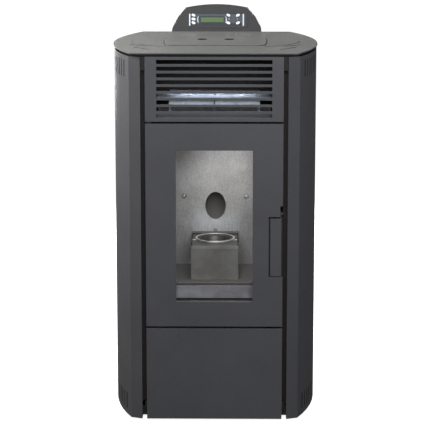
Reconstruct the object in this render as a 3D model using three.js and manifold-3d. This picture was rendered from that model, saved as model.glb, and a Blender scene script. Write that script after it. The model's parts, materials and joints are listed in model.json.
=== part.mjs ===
// Pellet stove: a free-standing room heater with curved sheet-steel sides, a glazed door, a hot-air grille,
// a top plate with a hinged hopper lid, and a control housing behind the plate.
// Millimetres. +Z is up, the front faces -Y. Pieces are drawn with y = 0 on the front face of the door and
// z = 0 on the floor, and the finished group is moved so that its origin is the middle of its footprint.
import * as THREE from 'three';
import { mergeVertices } from 'three/addons/utils/BufferGeometryUtils.js';
import Module from 'manifold-3d';

const wasm = await Module();
wasm.setup();

// ---------- driving dimensions ----------
const GAP = 0.3;                    // clearance left between pieces that touch
const SHEET = 2;                    // body sheet steel

// body shell, seen in plan
const BODY_HALF = 257;              // widest half-width of the side panels
const BODY_DEPTH = 487;             // outer face of the rear panel
const WIDEST_Y = 238;               // depth at which body and plate are widest
const FOLD_INSET = 47.5;            // the fold's distance inside the widest half-width
const FOLD_Y = 12;                  // sharp fold between front strip and curved side
const STRIP_WIDTH = 28.5;           // flat front strip, from the fold inwards
const PANEL_BOTTOM = 8;
const REAR_FLANGE = 22;             // side panel's flange along the rear panel
const ARC_STEPS = 12;

// vent slots in the side panels
const VENT_COUNT = 6;
const VENT_PITCH = 21;
const VENT_FIRST_Y = 44;
const VENT_WIDTH = 6;
const VENT_HEIGHT = 42;
const VENT_MARGIN_TOP = 12;
const VENT_MARGIN_BOTTOM = 14;

// facade, seen from the front
const SIDE_SLIT = 11.5;             // dark gap between facade and front strips
const FACADE_RETURN = 26.7;         // depth of the panels' side flanges, which meet the posts
const SEAM = 5;                     // gap between grille panel, door and lower panel
const LOWER_PANEL_HEIGHT = 235;
const DOOR_HEIGHT = 511.5;
const GRILLE_HEIGHT = 158.9;

// grille
const GRILLE_SIDE = 28;             // plain sheet beside the gaps
const GRILLE_SILL = 9.5;            // plain sheet below the lowest gap
const GRILLE_BAR = 6.4;
const GRILLE_PITCH = 16.5;
const GRILLE_GAPS = 9;

// door
const DOOR_SKIN = 3;
const DOOR_RETURN = 22;
const WINDOW_HALF = 94.8;
const WINDOW_SILL = 63.1;           // from the door's lower edge to the window
const WINDOW_HEAD = 66.4;           // from the window to the door's upper edge
const GLASS_THICK = 4;
const GLASS_Y = 9;
const GLASS_EDGE = 9;               // glass hidden behind the skin on every side
const DOOR_FRAME_INSET = 28.5;      // inner frame's edge, inside the door's
const DOOR_FRAME_Y = 14;
const DOOR_FRAME_DEPTH = 22;
const DOOR_FRAME_LOW = 8;           // inner frame above the door's lower edge
const DOOR_FRAME_HIGH = 36;         // inner frame below the door's upper edge
const GASKET_WIDTH = 13;
const GASKET_PROUD = 6;             // rope standing out of its groove
const HINGE_INSET = 9.5;            // hinge axis inside the door's edge
const HINGE_Y = 12;
const HINGE_PIN_R = 4;
const HINGE_PIN_DEPTH = 14;

// door handle and latch
const HANDLE_INSET = 4.2;           // handle's flat front inside the door's edge
const HANDLE_WIDTH = 26.5;
const HANDLE_RISE = 130.1;          // handle above the door's lower edge
const HANDLE_HEIGHT = 145.2;
const HANDLE_PROUD = 2;
const HANDLE_SHEET = 2.5;
const HANDLE_GAP = 4;               // shadow gap round the handle
const PIVOT_Y = 12;
const PIVOT_RISE = 9.1;             // pivot above the handle
const PIVOT_R = 3;
const HOOK_THICK = 3;
const HOOK_REACH = 28;              // hook nose behind the pivot
const HOOK_TOP = 18;                // hook nose above the pivot
const CATCH_R = 4;

// top plate and hopper lid
const PLATE_STAND = 10;             // plate's top above the panels
const PLATE_THICK = 3.5;
const PLATE_OVERHANG = 2.5;         // plate beyond the body at its widest
const PLATE_FRONT_Y = 10;           // where the curved side starts behind the front corner
const PLATE_REAR_LIP = 5;           // plate beyond the rear panel
const RIM_INSET = 8;                // the shadow gap under the plate is this deep
const RIM_WIDTH = 12;
const SLOT_WIDTH = 5;
const LID_HALF = 130.6;
const LID_FRONT = 155;
const LID_LENGTH = 218;
const LID_BULGE_R = 805;
const LID_CORNER = 18;
const LID_THICK = 5;
const LID_CHAMFER = 1.4;
const MOUTH_SIDE = 18.6;            // hopper mouth inside the lid's edges
const MOUTH_SETBACK = 35;
const MOUTH_REAR = 15;
const MOUTH_CORNER = 22;
const SKIRT_DEPTH = 9;
const FINGER_HOLE_X = 34.6;
const FINGER_HOLE_SETBACK = 123;    // behind the lid's front edge
const FINGER_HOLE_R = 10.5;
const LID_PIN_R = 1.5;
const LID_KNUCKLE_R = 2.6;
const LID_KNUCKLE_X = 70;
const LID_KNUCKLE_LENGTH = 24;

// firebox
const BOX_INSET = 53.5;             // inside wall of the firebox, inside the facade's edge
const BOX_WALL = 3;
const BOX_DEPTH = 230.7;
const BOX_RISE = 12.4;              // inside bottom above the door's lower edge
const BOX_HEADROOM = 9.3;           // inside top above the window
const MOUTH_PLATE_INSET = 19.5;
const MOUTH_PLATE_RISE = 5.4;       // above the door's upper edge
const OPENING_LIP = 4;              // mouth plate reaching inside the firebox walls
const SERVICE_ARCH_DROP = 29;       // mouth plate's web under the firebox
const LINER_STAND_OFF = 22;         // liner in front of the firebox's back
const LINER_THICK = 2;
const LINER_DROP = 63;              // liner's top below the firebox's
const LINER_FOLD = 8;
const FLOOR_RISE = 89;              // floor plate's top above the firebox's bottom
const FLOOR_THICK = 3;
const CHUTE_RISE = 156;             // centre of the liner's oval hole above the floor plate
const CHUTE_R = 26.5;
const CHUTE_WALL = 2;
const CHUTE_SIDES = 20;
const CHUTE_ANGLE = 42.6;           // degrees above the horizontal
const POT_BOX_HALF = 59.5;
const POT_BOX_DEPTH = 177;
const POT_BOX_HEIGHT = 88;
const POT_BOX_WALL = 2.5;
const POT_SETBACK = 80;             // pot's axis behind the box's front
const POT_RING_R = 48.5;
const POT_BOWL_R = 42;
const POT_FOOT_R = 30;
const POT_DEPTH = 56;
const POT_COLLAR = 10;
const POT_WALL = 3;
const POT_HOLE_RINGS = [[1, 0], [6, 11], [8, 21]];  // count and radius of each ring of air holes
const POT_HOLE_R = 2;
const POT_SIDES = 24;
const DROP_MARGIN = 12;             // floor plate's ash drop inside the pot box
const PAN_SIDE = 8;                 // pan's tray inside the firebox walls
const PAN_FACE_SIDE = 5;
const PAN_HEADROOM = 4;             // pan's face below the floor plate's underside
const PAN_TRAY_HEADROOM = 16;
const PAN_DEPTH = 190;
const PAN_WALL = 2;

// air paths
const JACKET_INSET = 1;             // inside the mouth plate's edge
const JACKET_RISE = 2.5;            // above the mouth plate
const JACKET_SETBACK = 36;          // its back edge in front of the firebox's
const DUCT_LAP = 0.7;               // duct's front behind the firebox's
const DUCT_DEPTH = 122;
const DUCT_HEIGHT = 57.7;
const DUCT_MOUTH_HEIGHT = 22.7;
const DUCT_SHEET = 1.5;
const DEFLECTOR_FRONT = 12;
const DEFLECTOR_BEND = 24;
const DEFLECTOR_RISE = 14;
const INTAKE_X = -37;
const INTAKE_RISE = 21;             // above the floor plate
const INTAKE_R = 16;
const INTAKE_WALL = 1.5;
const INTAKE_STUB = 26;             // pipe's end behind the rear panel
const IGNITER_X = 28;
const IGNITER_R = 6;
const FAN_X = 50;                   // exhaust fan axis
const FAN_RISE = 31;                // above the firebox's bottom
const FAN_DEPTH = 48;
const FAN_WHEEL_R = 42;
const FAN_PORT_R = 28;
const FLUE_X = 106;
const FLUE_Z = 150;
const FLUE_R = 40;
const FLUE_WALL = 1.5;
const FLUE_SIDES = 18;
const FLUE_BEND = 52;
const FLUE_STUB = 46;               // pipe's end behind the rear panel
const BLOWER_Y = 168;
const BLOWER_Z = 112;
const BLOWER_HALF = 78;
const BLOWER_R = 52;

// pellet feed
const AUGER_CLEARANCE = 77;         // auger's low end in front of the rear sheet
const AUGER_DROP = 41;              // auger's low end below the liner's hole
const AUGER_ANGLE = 50;             // degrees above the horizontal, rising to the front
const AUGER_OVERRUN = 20.44;        // barrel beyond its meeting with the chute
const AUGER_TUBE_R = 25;
const AUGER_TUBE_WALL = 3;
const SCREW_R = 20;
const SCREW_SHAFT_R = 7;
const SCREW_PITCH = 34;
const SCREW_FLIGHT = 3;
const HOPPER_HALF = 150;
const HOPPER_FRONT_MARGIN = 6;      // hopper's front wall ahead of its mouth
const HOPPER_REAR_MARGIN = 35;      // hopper's back wall ahead of the rear sheet
const HOPPER_NECK = 34;             // straight walls under the plate
const OUTLET_HALF = 22;
const OUTLET_LENGTH = 42;
const OUTLET_RISE = 80;             // hopper's outlet above the auger's low end
const SPOUT_LENGTH = 30;

// base and supports
const TRAY_BOTTOM = 10;
const TRAY_FLOOR = 3;
const TRAY_RIM = 34;
const POST_OVERLAP = 11.5;          // post behind the facade's edge
const POST_REACH = 15;              // post behind the front strip
const POST_DEPTH = 33.3;
const FOOT_INSET = 97;              // feet inside the widest half-width
const FOOT_FRONT_Y = 78;
const FOOT_REAR = 67;               // rear feet in front of the rear panel
const FOOT_R = 19;
const FOOT_HEIGHT = 6;
const STUD_R = 5;

// control housing
const CONSOLE_LEAN = 8;             // degrees that its face leans back
const CONSOLE_DEPTH = 36;           // from the plate's back edge to its rear face
const CONSOLE_WALL = 2.5;
const CONSOLE_DROP = 58;            // how far it reaches below the plate's top
const CONSOLE_OUTLINE = [[106, -CONSOLE_DROP], [112, -12], [120, 0], [119, 9], [103, 38], [83, 61]];
const CONSOLE_CROWN = 70;           // above the plate's top
const FASCIA_HALF = 77.5;
const FASCIA_LOW = 13.5;            // up the face from the plate's top
const FASCIA_HEIGHT = 35.2;
const FASCIA_THICK = 2;
const FASCIA_SUNK = 0.8;
const LCD_LEFT = -44;
const LCD_WIDTH = 63.3;
const LCD_RISE = 10.8;              // above the fascia's lower edge
const LCD_HEIGHT = 14.4;
const BUTTON_LONG = 11;
const BUTTON_SHORT = 6.6;
const BUTTON_PROUD = 1.6;
const BUTTON_ROWS = [9.4, 19.7, 29.9];  // above the fascia's lower edge
const BUTTON_LEFT_X = -62.1;
const BUTTON_RIGHT_X = [31.4, 57];
const BUTTON_TILT = 26;             // degrees that the outer leaf-shaped keys are turned

// electrics, at the rear
const INLET_X = -135;
const INLET_Z = 92;
const INLET_HALF = 24;
const INLET_TALL_HALF = 30;
const ROCKER_SWING = 12;            // degrees between off and on
const BOARD_X = -100;
const BOARD_HALF = 72;
const BOARD_HEIGHT = 104;
const BOARD_DROP = 356;             // board's lower edge below the panels' top
const BOARD_STAND = 8.7;            // board's back in front of the rear sheet

// ---------- values that follow ----------
// across
const FOLD_HALF = BODY_HALF - FOLD_INSET;
const STRIP_HALF = FOLD_HALF - STRIP_WIDTH;
const FACADE_HALF = STRIP_HALF - SIDE_SLIT;
const GRILLE_HALF = FACADE_HALF - GRILLE_SIDE;
const POST_INNER = FACADE_HALF - POST_OVERLAP;
const POST_OUTER = STRIP_HALF + POST_REACH;
const HINGE_X = -FACADE_HALF + HINGE_INSET;
const DOOR_FRAME_HALF = FACADE_HALF - DOOR_FRAME_INSET;
const HANDLE_RIGHT = FACADE_HALF - HANDLE_INSET;
const HANDLE_LEFT = HANDLE_RIGHT - HANDLE_WIDTH;
const PLATE_HALF = BODY_HALF + PLATE_OVERHANG;
const PLATE_FRONT_HALF = FOLD_HALF - 0.5;
const BOX_HALF = FACADE_HALF - BOX_INSET;
const OPENING_HALF = BOX_HALF - OPENING_LIP;
const MOUTH_PLATE_HALF = FACADE_HALF - MOUTH_PLATE_INSET;
const JACKET_HALF = MOUTH_PLATE_HALF - JACKET_INSET;
const DUCT_HALF = OPENING_HALF;
const PAN_HALF = BOX_HALF - PAN_SIDE;
const PAN_FRONT_HALF = BOX_HALF - PAN_FACE_SIDE;
const MOUTH_HALF = LID_HALF - MOUTH_SIDE;
const FOOT_X = BODY_HALF - FOOT_INSET;
const LCD_RIGHT = LCD_LEFT + LCD_WIDTH;

// up
const TRAY_TOP = TRAY_BOTTOM + TRAY_FLOOR;
const LOWER_PANEL_TOP = PANEL_BOTTOM + LOWER_PANEL_HEIGHT;
const DOOR_BOTTOM = LOWER_PANEL_TOP + SEAM + 0.6;
const DOOR_TOP = DOOR_BOTTOM + DOOR_HEIGHT;
const GRILLE_BOTTOM = DOOR_TOP + SEAM;
const GRILLE_FIRST_GAP = GRILLE_BOTTOM + GRILLE_SILL;
const PANEL_TOP = GRILLE_BOTTOM + GRILLE_HEIGHT;
const PLATE_TOP = PANEL_TOP + PLATE_STAND;
const WINDOW_BOTTOM = DOOR_BOTTOM + WINDOW_SILL;
const WINDOW_TOP = DOOR_TOP - WINDOW_HEAD;
const HANDLE_BOTTOM = DOOR_BOTTOM + HANDLE_RISE;
const HANDLE_TOP = HANDLE_BOTTOM + HANDLE_HEIGHT;
const PIVOT_Z = HANDLE_TOP + PIVOT_RISE;
const BOX_BOTTOM = DOOR_BOTTOM + BOX_RISE;
const BOX_TOP = WINDOW_TOP + BOX_HEADROOM;
const MOUTH_PLATE_TOP = DOOR_TOP + MOUTH_PLATE_RISE;
const LINER_TOP = BOX_TOP - LINER_DROP;
const FLOOR_TOP = BOX_BOTTOM + FLOOR_RISE;
const POT_BOX_TOP = FLOOR_TOP + POT_BOX_HEIGHT;
const PAN_TOP = FLOOR_TOP - FLOOR_THICK - PAN_HEADROOM;
const CHUTE_Z = FLOOR_TOP + CHUTE_RISE;
const INTAKE_Z = FLOOR_TOP + INTAKE_RISE;
const FAN_Z = BOX_BOTTOM + FAN_RISE;
const JACKET_TOP = MOUTH_PLATE_TOP + JACKET_RISE;
const DUCT_BOTTOM = JACKET_TOP + GAP;
const DUCT_TOP = DUCT_BOTTOM + DUCT_HEIGHT;
const DUCT_MOUTH_BOTTOM = DUCT_BOTTOM + 10;
const AUGER_LOW_Z = CHUTE_Z - AUGER_DROP;
const OUTLET_Z = AUGER_LOW_Z + OUTLET_RISE;
const SPOUT_BOTTOM = OUTLET_Z - SPOUT_LENGTH;
const HOPPER_SLOPE_TOP = PLATE_TOP - HOPPER_NECK;
const FASCIA_HIGH = FASCIA_LOW + FASCIA_HEIGHT;
const LCD_LOW = FASCIA_LOW + LCD_RISE;
const LCD_HIGH = LCD_LOW + LCD_HEIGHT;

// back
const TRAY_FRONT = FACADE_RETURN + GAP;
const POST_BACK = FACADE_RETURN + POST_DEPTH;
const REAR_SHEET_FRONT = BODY_DEPTH - SHEET;
const PLATE_BACK = BODY_DEPTH + PLATE_REAR_LIP;
const CONSOLE_FRONT = PLATE_BACK + 2 * GAP;
const CONSOLE_BACK = PLATE_BACK + CONSOLE_DEPTH;
const LID_BACK = LID_FRONT + LID_LENGTH;
const MOUTH_FRONT = LID_FRONT + MOUTH_SETBACK;
const MOUTH_BACK = LID_BACK - MOUTH_REAR;
const FINGER_HOLE_Y = LID_FRONT + FINGER_HOLE_SETBACK;
const MOUTH_PLATE_Y = DOOR_FRAME_Y + DOOR_FRAME_DEPTH + GASKET_PROUD + GAP;
const BOX_FRONT = MOUTH_PLATE_Y + BOX_WALL;
const BOX_BACK = BOX_FRONT + BOX_DEPTH;
const LINER_Y = BOX_BACK - LINER_STAND_OFF;
const POT_BOX_FRONT = LINER_Y - POT_BOX_DEPTH;
const POT_Y = POT_BOX_FRONT + POT_SETBACK;
const JACKET_BACK = BOX_BACK - JACKET_SETBACK;
const FOOT_BACK_Y = BODY_DEPTH - FOOT_REAR;
const INTAKE_END = BODY_DEPTH + INTAKE_STUB;
const FLUE_END = BODY_DEPTH + FLUE_STUB;
const AUGER_LOW_Y = REAR_SHEET_FRONT - AUGER_CLEARANCE;
const HOPPER_FRONT = MOUTH_FRONT - HOPPER_FRONT_MARGIN;
const HOPPER_BACK = REAR_SHEET_FRONT - HOPPER_REAR_MARGIN;
const OUTLET_BACK = AUGER_LOW_Y + 4;
const OUTLET_FRONT = OUTLET_BACK - OUTLET_LENGTH;
const DUCT_FRONT = BOX_FRONT + DUCT_LAP;
const DUCT_BACK = DUCT_FRONT + DUCT_DEPTH;

const rad = THREE.MathUtils.degToRad;

// The pellet chute and the auger meet at these distances up their axes.
const FEED_RUN = AUGER_LOW_Y - LINER_Y;
const FEED_TURN = Math.sin(rad(CHUTE_ANGLE + AUGER_ANGLE));
const feedMeet = (angle, drop) => (FEED_RUN * Math.sin(rad(angle)) + drop * Math.cos(rad(angle))) / FEED_TURN;
const CHUTE_MEET = feedMeet(AUGER_ANGLE, -AUGER_DROP);
const AUGER_MEET = feedMeet(CHUTE_ANGLE, AUGER_DROP);
const AUGER_LENGTH = AUGER_MEET + AUGER_OVERRUN;

// ---------- materials ----------
function finish(colour, roughness, metalness) {
  return new THREE.MeshStandardMaterial({ color: colour, roughness: roughness, metalness: metalness });
}
const PAINT = finish(0x5c5c60, 0.55, 0.4);
const PLATE_PAINT = finish(0x75736f, 0.55, 0.4);
const DARK_STEEL = finish(0x2f2c2a, 0.7, 0.5);
const STEEL = finish(0xa9adb0, 0.35, 0.9);
const ZINC = finish(0xc4c9cc, 0.4, 0.85);
const CAST_IRON = finish(0x3a3937, 0.8, 0.5);
const GLASS = finish(0x9fb0b0, 0.05, 0);
GLASS.transparent = true;
GLASS.opacity = 0.3;
const GASKET = finish(0x26221f, 0.95, 0);
const CONSOLE_PAINT = finish(0x4c4c4e, 0.6, 0.2);
const FASCIA = finish(0x5f6673, 0.35, 0.2);
const LCD = finish(0x5f9a4a, 0.2, 0);
const KEY = finish(0xd8dde2, 0.35, 0.2);
const BLACK_PLASTIC = finish(0x1b1b1c, 0.5, 0);
const BOARD = finish(0x2d5a38, 0.6, 0);
const MOTOR = finish(0x6d7073, 0.45, 0.7);

// ---------- solids ----------
function solid(geometry) {
  const bare = geometry.clone();
  bare.deleteAttribute('normal');
  bare.deleteAttribute('uv');
  const merged = mergeVertices(bare, 1e-4);
  const index = merged.index.array;
  const faces = [];
  for (let i = 0; i < index.length; i += 3) {
    const [a, b, c] = [index[i], index[i + 1], index[i + 2]];
    if (a !== b && b !== c && c !== a) faces.push(a, b, c);
  }
  return new wasm.Manifold(new wasm.Mesh({
    numProp: 3,
    vertProperties: new Float32Array(merged.attributes.position.array),
    triVerts: new Uint32Array(faces),
  }));
}

function geometryOf(piece) {
  const mesh = piece.getMesh();
  const geometry = new THREE.BufferGeometry();
  geometry.setAttribute('position', new THREE.BufferAttribute(new Float32Array(mesh.vertProperties), 3));
  geometry.setIndex(new THREE.BufferAttribute(new Uint32Array(mesh.triVerts), 1));
  geometry.computeVertexNormals();
  return geometry;
}

function join(first, ...rest) {
  return rest.reduce((sum, piece) => sum.add(piece), first);
}

function cut(first, ...tools) {
  return tools.reduce((left, tool) => left.subtract(tool), first);
}

function block(x0, x1, y0, y1, z0, z1, matrix) {
  const geometry = new THREE.BoxGeometry(x1 - x0, y1 - y0, z1 - z0);
  geometry.translate((x0 + x1) / 2, (y0 + y1) / 2, (z0 + z1) / 2);
  if (matrix) geometry.applyMatrix4(matrix);
  return solid(geometry);
}

// A round bar between two points.
function rod(from, to, radius, sides = 14, endRadius = radius) {
  const a = new THREE.Vector3(...from);
  const b = new THREE.Vector3(...to);
  const along = b.clone().sub(a);
  const geometry = new THREE.CylinderGeometry(endRadius, radius, along.length(), sides);
  const up = new THREE.Vector3(0, 1, 0);
  geometry.applyQuaternion(new THREE.Quaternion().setFromUnitVectors(up, along.clone().normalize()));
  geometry.translate(...a.add(b).multiplyScalar(0.5).toArray());
  return solid(geometry);
}

// The point at a distance from one point on the line to another.
function pointOn(from, to, distance) {
  const a = new THREE.Vector3(...from);
  const along = new THREE.Vector3(...to).sub(a).normalize();
  return a.addScaledVector(along, distance).toArray();
}

function tube(from, to, outer, inner, sides = 14) {
  const length = new THREE.Vector3(...from).distanceTo(new THREE.Vector3(...to));
  const hollow = rod(pointOn(from, to, -1), pointOn(from, to, length + 1), inner, sides);
  return cut(rod(from, to, outer, sides), hollow);
}

function turned(profile, x, y, sides) {
  const geometry = new THREE.LatheGeometry(profile.map(([r, z]) => new THREE.Vector2(r, z)), sides);
  geometry.rotateX(Math.PI / 2);
  geometry.translate(x, y, 0);
  return solid(geometry);
}

// Extrudes a flat outline: plan outlines rise along Z, front outlines (x, z) run back along Y, and side
// outlines (y, z) run across along X. Holes are outlines too, cut right through.
function extruded(points, depth, bevel = 0) {
  return new THREE.ExtrudeGeometry(new THREE.Shape(points.map(([x, y]) => new THREE.Vector2(x, y))), {
    depth: depth,
    bevelEnabled: bevel > 0,
    bevelSize: bevel,
    bevelThickness: bevel,
    bevelOffset: -bevel,
    bevelSegments: 1,
  });
}

function rise(points, z0, z1, holes = []) {
  const column = (line, from, to) => solid(extruded(line, to - from).translate(0, 0, from));
  return cut(column(points, z0, z1), ...holes.map((line) => column(line, z0 - 1, z1 + 1)));
}

function runBack(points, y0, y1, holes = []) {
  const run = (line, from, to) => solid(extruded(line, to - from).rotateX(Math.PI / 2).translate(0, to, 0));
  return cut(run(points, y0, y1), ...holes.map((line) => run(line, y0 - 1, y1 + 1)));
}

function runAcross(points, x0, x1) {
  const columns = [new THREE.Vector3(0, 1, 0), new THREE.Vector3(0, 0, 1), new THREE.Vector3(1, 0, 0)];
  const turn = new THREE.Matrix4().makeBasis(...columns);
  return solid(extruded(points, x1 - x0).applyMatrix4(turn).translate(x0, 0, 0));
}

// A solid through rings of points, each ring a convex loop with the same number of points.
function loft(rings) {
  const count = rings[0].length;
  const last = (rings.length - 1) * count;
  const faces = [];
  for (let k = 1; k < count - 1; k += 1) faces.push(0, k + 1, k, last, last + k, last + k + 1);
  for (let i = 0; i < last; i += count) {
    for (let k = 0; k < count; k += 1) {
      const [a, b] = [i + k, i + (k + 1) % count];
      faces.push(a, b, b + count, a, b + count, a + count);
    }
  }
  const geometry = new THREE.BufferGeometry();
  geometry.setAttribute('position', new THREE.BufferAttribute(new Float32Array(rings.flat(2)), 3));
  geometry.setIndex(faces);
  return geometry;
}

function arcPoints(cx, cy, radius, start, end, steps) {
  return Array.from({ length: steps + 1 }, (_, i) => {
    const angle = start + (end - start) * i / steps;
    return [cx + radius * Math.cos(angle), cy + radius * Math.sin(angle)];
  });
}

function circle(cx, cy, radius, sides) {
  return arcPoints(cx, cy, radius, 0, 2 * Math.PI, sides).slice(1);
}

function oblong(x0, x1, y0, y1) {
  return [[x0, y0], [x1, y0], [x1, y1], [x0, y1]];
}

function rounded(x0, x1, y0, y1, radius, steps = 3) {
  const quarter = Math.PI / 2;
  return [
    ...arcPoints(x1 - radius, y0 + radius, radius, -quarter, 0, steps),
    ...arcPoints(x1 - radius, y1 - radius, radius, 0, quarter, steps),
    ...arcPoints(x0 + radius, y1 - radius, radius, quarter, 2 * quarter, steps),
    ...arcPoints(x0 + radius, y0 + radius, radius, 2 * quarter, 3 * quarter, steps),
  ];
}

function mirrored(points) {
  return points.map(([x, y]) => [-x, y]).reverse();
}

// A line offset to its left, with mitred corners.
function offsetLine(points, distance, closed = false) {
  const count = points.length;
  const normal = (i) => {
    const [a, b] = [points[(i + count) % count], points[(i + 1 + count) % count]];
    const length = Math.hypot(b[0] - a[0], b[1] - a[1]);
    return [-(b[1] - a[1]) / length, (b[0] - a[0]) / length];
  };
  return points.map(([x, y], i) => {
    const before = normal(closed || i > 0 ? i - 1 : i);
    const after = normal(closed || i < count - 1 ? i : i - 1);
    const spread = 1 + before[0] * after[0] + before[1] * after[1];
    return [x + distance * (before[0] + after[0]) / spread, y + distance * (before[1] + after[1]) / spread];
  });
}

// The section of a folded sheet whose outer face follows the given line.
function foldedSheet(points, thickness) {
  return [...points, ...offsetLine(points, thickness).reverse()];
}

// A solid between two level rectangles, [x0, x1, y0, y1] at heights z0 and z1.
function taper(low, z0, high, z1) {
  const ring = ([x0, x1, y0, y1], z) => [[x0, y0, z], [x1, y0, z], [x1, y1, z], [x0, y1, z]];
  return solid(loft([ring(low, z0), ring(high, z1)]));
}

// ---------- the assembly ----------
const stove = new THREE.Group();

function place(name, piece, material, parent = stove) {
  const mesh = new THREE.Mesh(geometryOf(piece), material);
  mesh.name = name;
  parent.add(mesh);
  return mesh;
}

// ---------- plan outlines of body and plate ----------
const bodyArc = arcThrough(BODY_HALF, FOLD_HALF, FOLD_Y);
const plateArc = arcThrough(PLATE_HALF, PLATE_FRONT_HALF, PLATE_FRONT_Y);
const SIDE_REAR_Y = REAR_SHEET_FRONT - GAP;

// The circle that is widest at WIDEST_Y and passes a front point; both sides of the stove share it.
function arcThrough(widest, frontHalf, frontY) {
  const sag = widest - frontHalf;
  const run = WIDEST_Y - frontY;
  const radius = (run * run + sag * sag) / (2 * sag);
  return { radius: radius, cx: widest - radius };
}

function arcX(arc, y) {
  return arc.cx + Math.sqrt(arc.radius ** 2 - (y - WIDEST_Y) ** 2);
}

function sidePoints(arc, y0, y1, inset = 0) {
  const start = Math.asin((y0 - WIDEST_Y) / arc.radius);
  const end = Math.asin((y1 - WIDEST_Y) / arc.radius);
  return arcPoints(arc.cx, WIDEST_Y, arc.radius - inset, start, end, ARC_STEPS);
}

function bodyOutline(inset) {
  const side = sidePoints(bodyArc, FOLD_Y, SIDE_REAR_Y, inset);
  return [...side, ...mirrored(side)];
}

function plateOutline(inset, y0, y1) {
  const corner = 8;
  const side = sidePoints(plateArc, y0 + PLATE_FRONT_Y, y1 - corner, inset);
  const [front, back] = [side[0], side[side.length - 1]];
  const right = [
    [front[0] - corner, y0], [front[0] - 1.5, y0 + 3], ...side,
    [back[0] - 2, y1 - 2.5], [back[0] - corner, y1]];
  return [...right, ...mirrored(right)];
}

// ---------- base ----------
function buildBase() {
  const floorArea = [TRAY_FRONT, REAR_SHEET_FRONT - GAP - SHEET - GAP];
  const whole = rise(bodyOutline(SHEET + GAP), TRAY_BOTTOM, TRAY_RIM).intersect(
    block(-BODY_HALF, BODY_HALF, ...floorArea, TRAY_BOTTOM - 1, TRAY_RIM + 1));
  const inside = rise(bodyOutline(2 * SHEET + GAP), TRAY_TOP, TRAY_RIM + 1).intersect(
    block(-BODY_HALF, BODY_HALF, floorArea[0] + SHEET, floorArea[1] - SHEET, TRAY_TOP, TRAY_RIM + 1));
  let tray = cut(whole, inside);
  const corners = [FOOT_FRONT_Y, FOOT_BACK_Y].flatMap((y) => [[-FOOT_X, y], [FOOT_X, y]]);
  corners.forEach(([x, y], i) => {
    tray = cut(tray, rod([x, y, TRAY_BOTTOM - 1], [x, y, TRAY_TOP + 1], STUD_R + GAP, 8));
    const profile = [[0, 0], [FOOT_R - 2, 0], [FOOT_R, 2], [FOOT_R, FOOT_HEIGHT], [0, FOOT_HEIGHT]];
    const pad = turned(profile, x, y, 12);
    const nut = rod([x, y, FOOT_HEIGHT - 1], [x, y, TRAY_BOTTOM - GAP], 2 * STUD_R, 6);
    const stud = rod([x, y, FOOT_HEIGHT - 1], [x, y, TRAY_RIM - 8], STUD_R, 8);
    place(`levelling_foot_${i + 1}`, join(pad, nut, stud), BLACK_PLASTIC);
  });
  place('base_tray', tray, DARK_STEEL);
}

// ---------- posts, with the small tabs that close the ends of the gaps beside the facade ----------
const TAB_Y = 4;
const UPPER_TAB = [PANEL_TOP - 34, PANEL_TOP];
const LOWER_TAB = [PANEL_BOTTOM + 27, PANEL_BOTTOM + 44];

function buildPosts() {
  const section = [[POST_INNER, TRAY_FRONT], [POST_OUTER, TRAY_FRONT], [POST_OUTER, POST_BACK]];
  const tabEdge = STRIP_HALF - 0.7;
  const upperTab = [[FACADE_HALF + 0.7, TAB_Y], [tabEdge, TAB_Y], [tabEdge, TRAY_FRONT + 1]];
  const lowerTab = [[FACADE_HALF + 0.7, TAB_Y], [FACADE_HALF + 5, TAB_Y], [FACADE_HALF + 5, TRAY_FRONT + 1]];
  for (const [name, side] of [['left_post', -1], ['right_post', 1]]) {
    const at = (points) => points.map(([x, y]) => [side * x, y]);
    let post = join(
      rise(foldedSheet(at(section), side * SHEET), TRAY_RIM + GAP, PANEL_TOP),
      rise(foldedSheet(at(upperTab), side * 1.5), ...UPPER_TAB),
      rise(foldedSheet(at(lowerTab), side * 1.5), ...LOWER_TAB));
    if (side > 0) post = join(cut(post, hookWindow()), latchCatch());
    place(name, post, DARK_STEEL);
  }
}

// The latch hook reaches through this window in the right post, under the pin of the catch.
const HOOK_LEFT = HANDLE_RIGHT - 2;
const CATCH_Y = PIVOT_Y + HOOK_REACH - 8;
const CATCH_Z = PIVOT_Z + HOOK_TOP + GAP + CATCH_R;

function hookWindow() {
  const [y0, y1] = [TRAY_FRONT - 1, TRAY_FRONT + SHEET + 1];
  return block(POST_INNER - 1, HOOK_LEFT + HOOK_THICK + 3, y0, y1, PIVOT_Z - 20, CATCH_Z + 10);
}

function latchCatch() {
  const x0 = HOOK_LEFT + HOOK_THICK + 4;
  const ear = block(x0, x0 + 3, TRAY_FRONT + 1, CATCH_Y + 8, CATCH_Z - 9, CATCH_Z + 9);
  const pin = rod([HOOK_LEFT - 2, CATCH_Y, CATCH_Z], [x0 + 1, CATCH_Y, CATCH_Z], CATCH_R, 16);
  return join(ear, pin);
}

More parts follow.
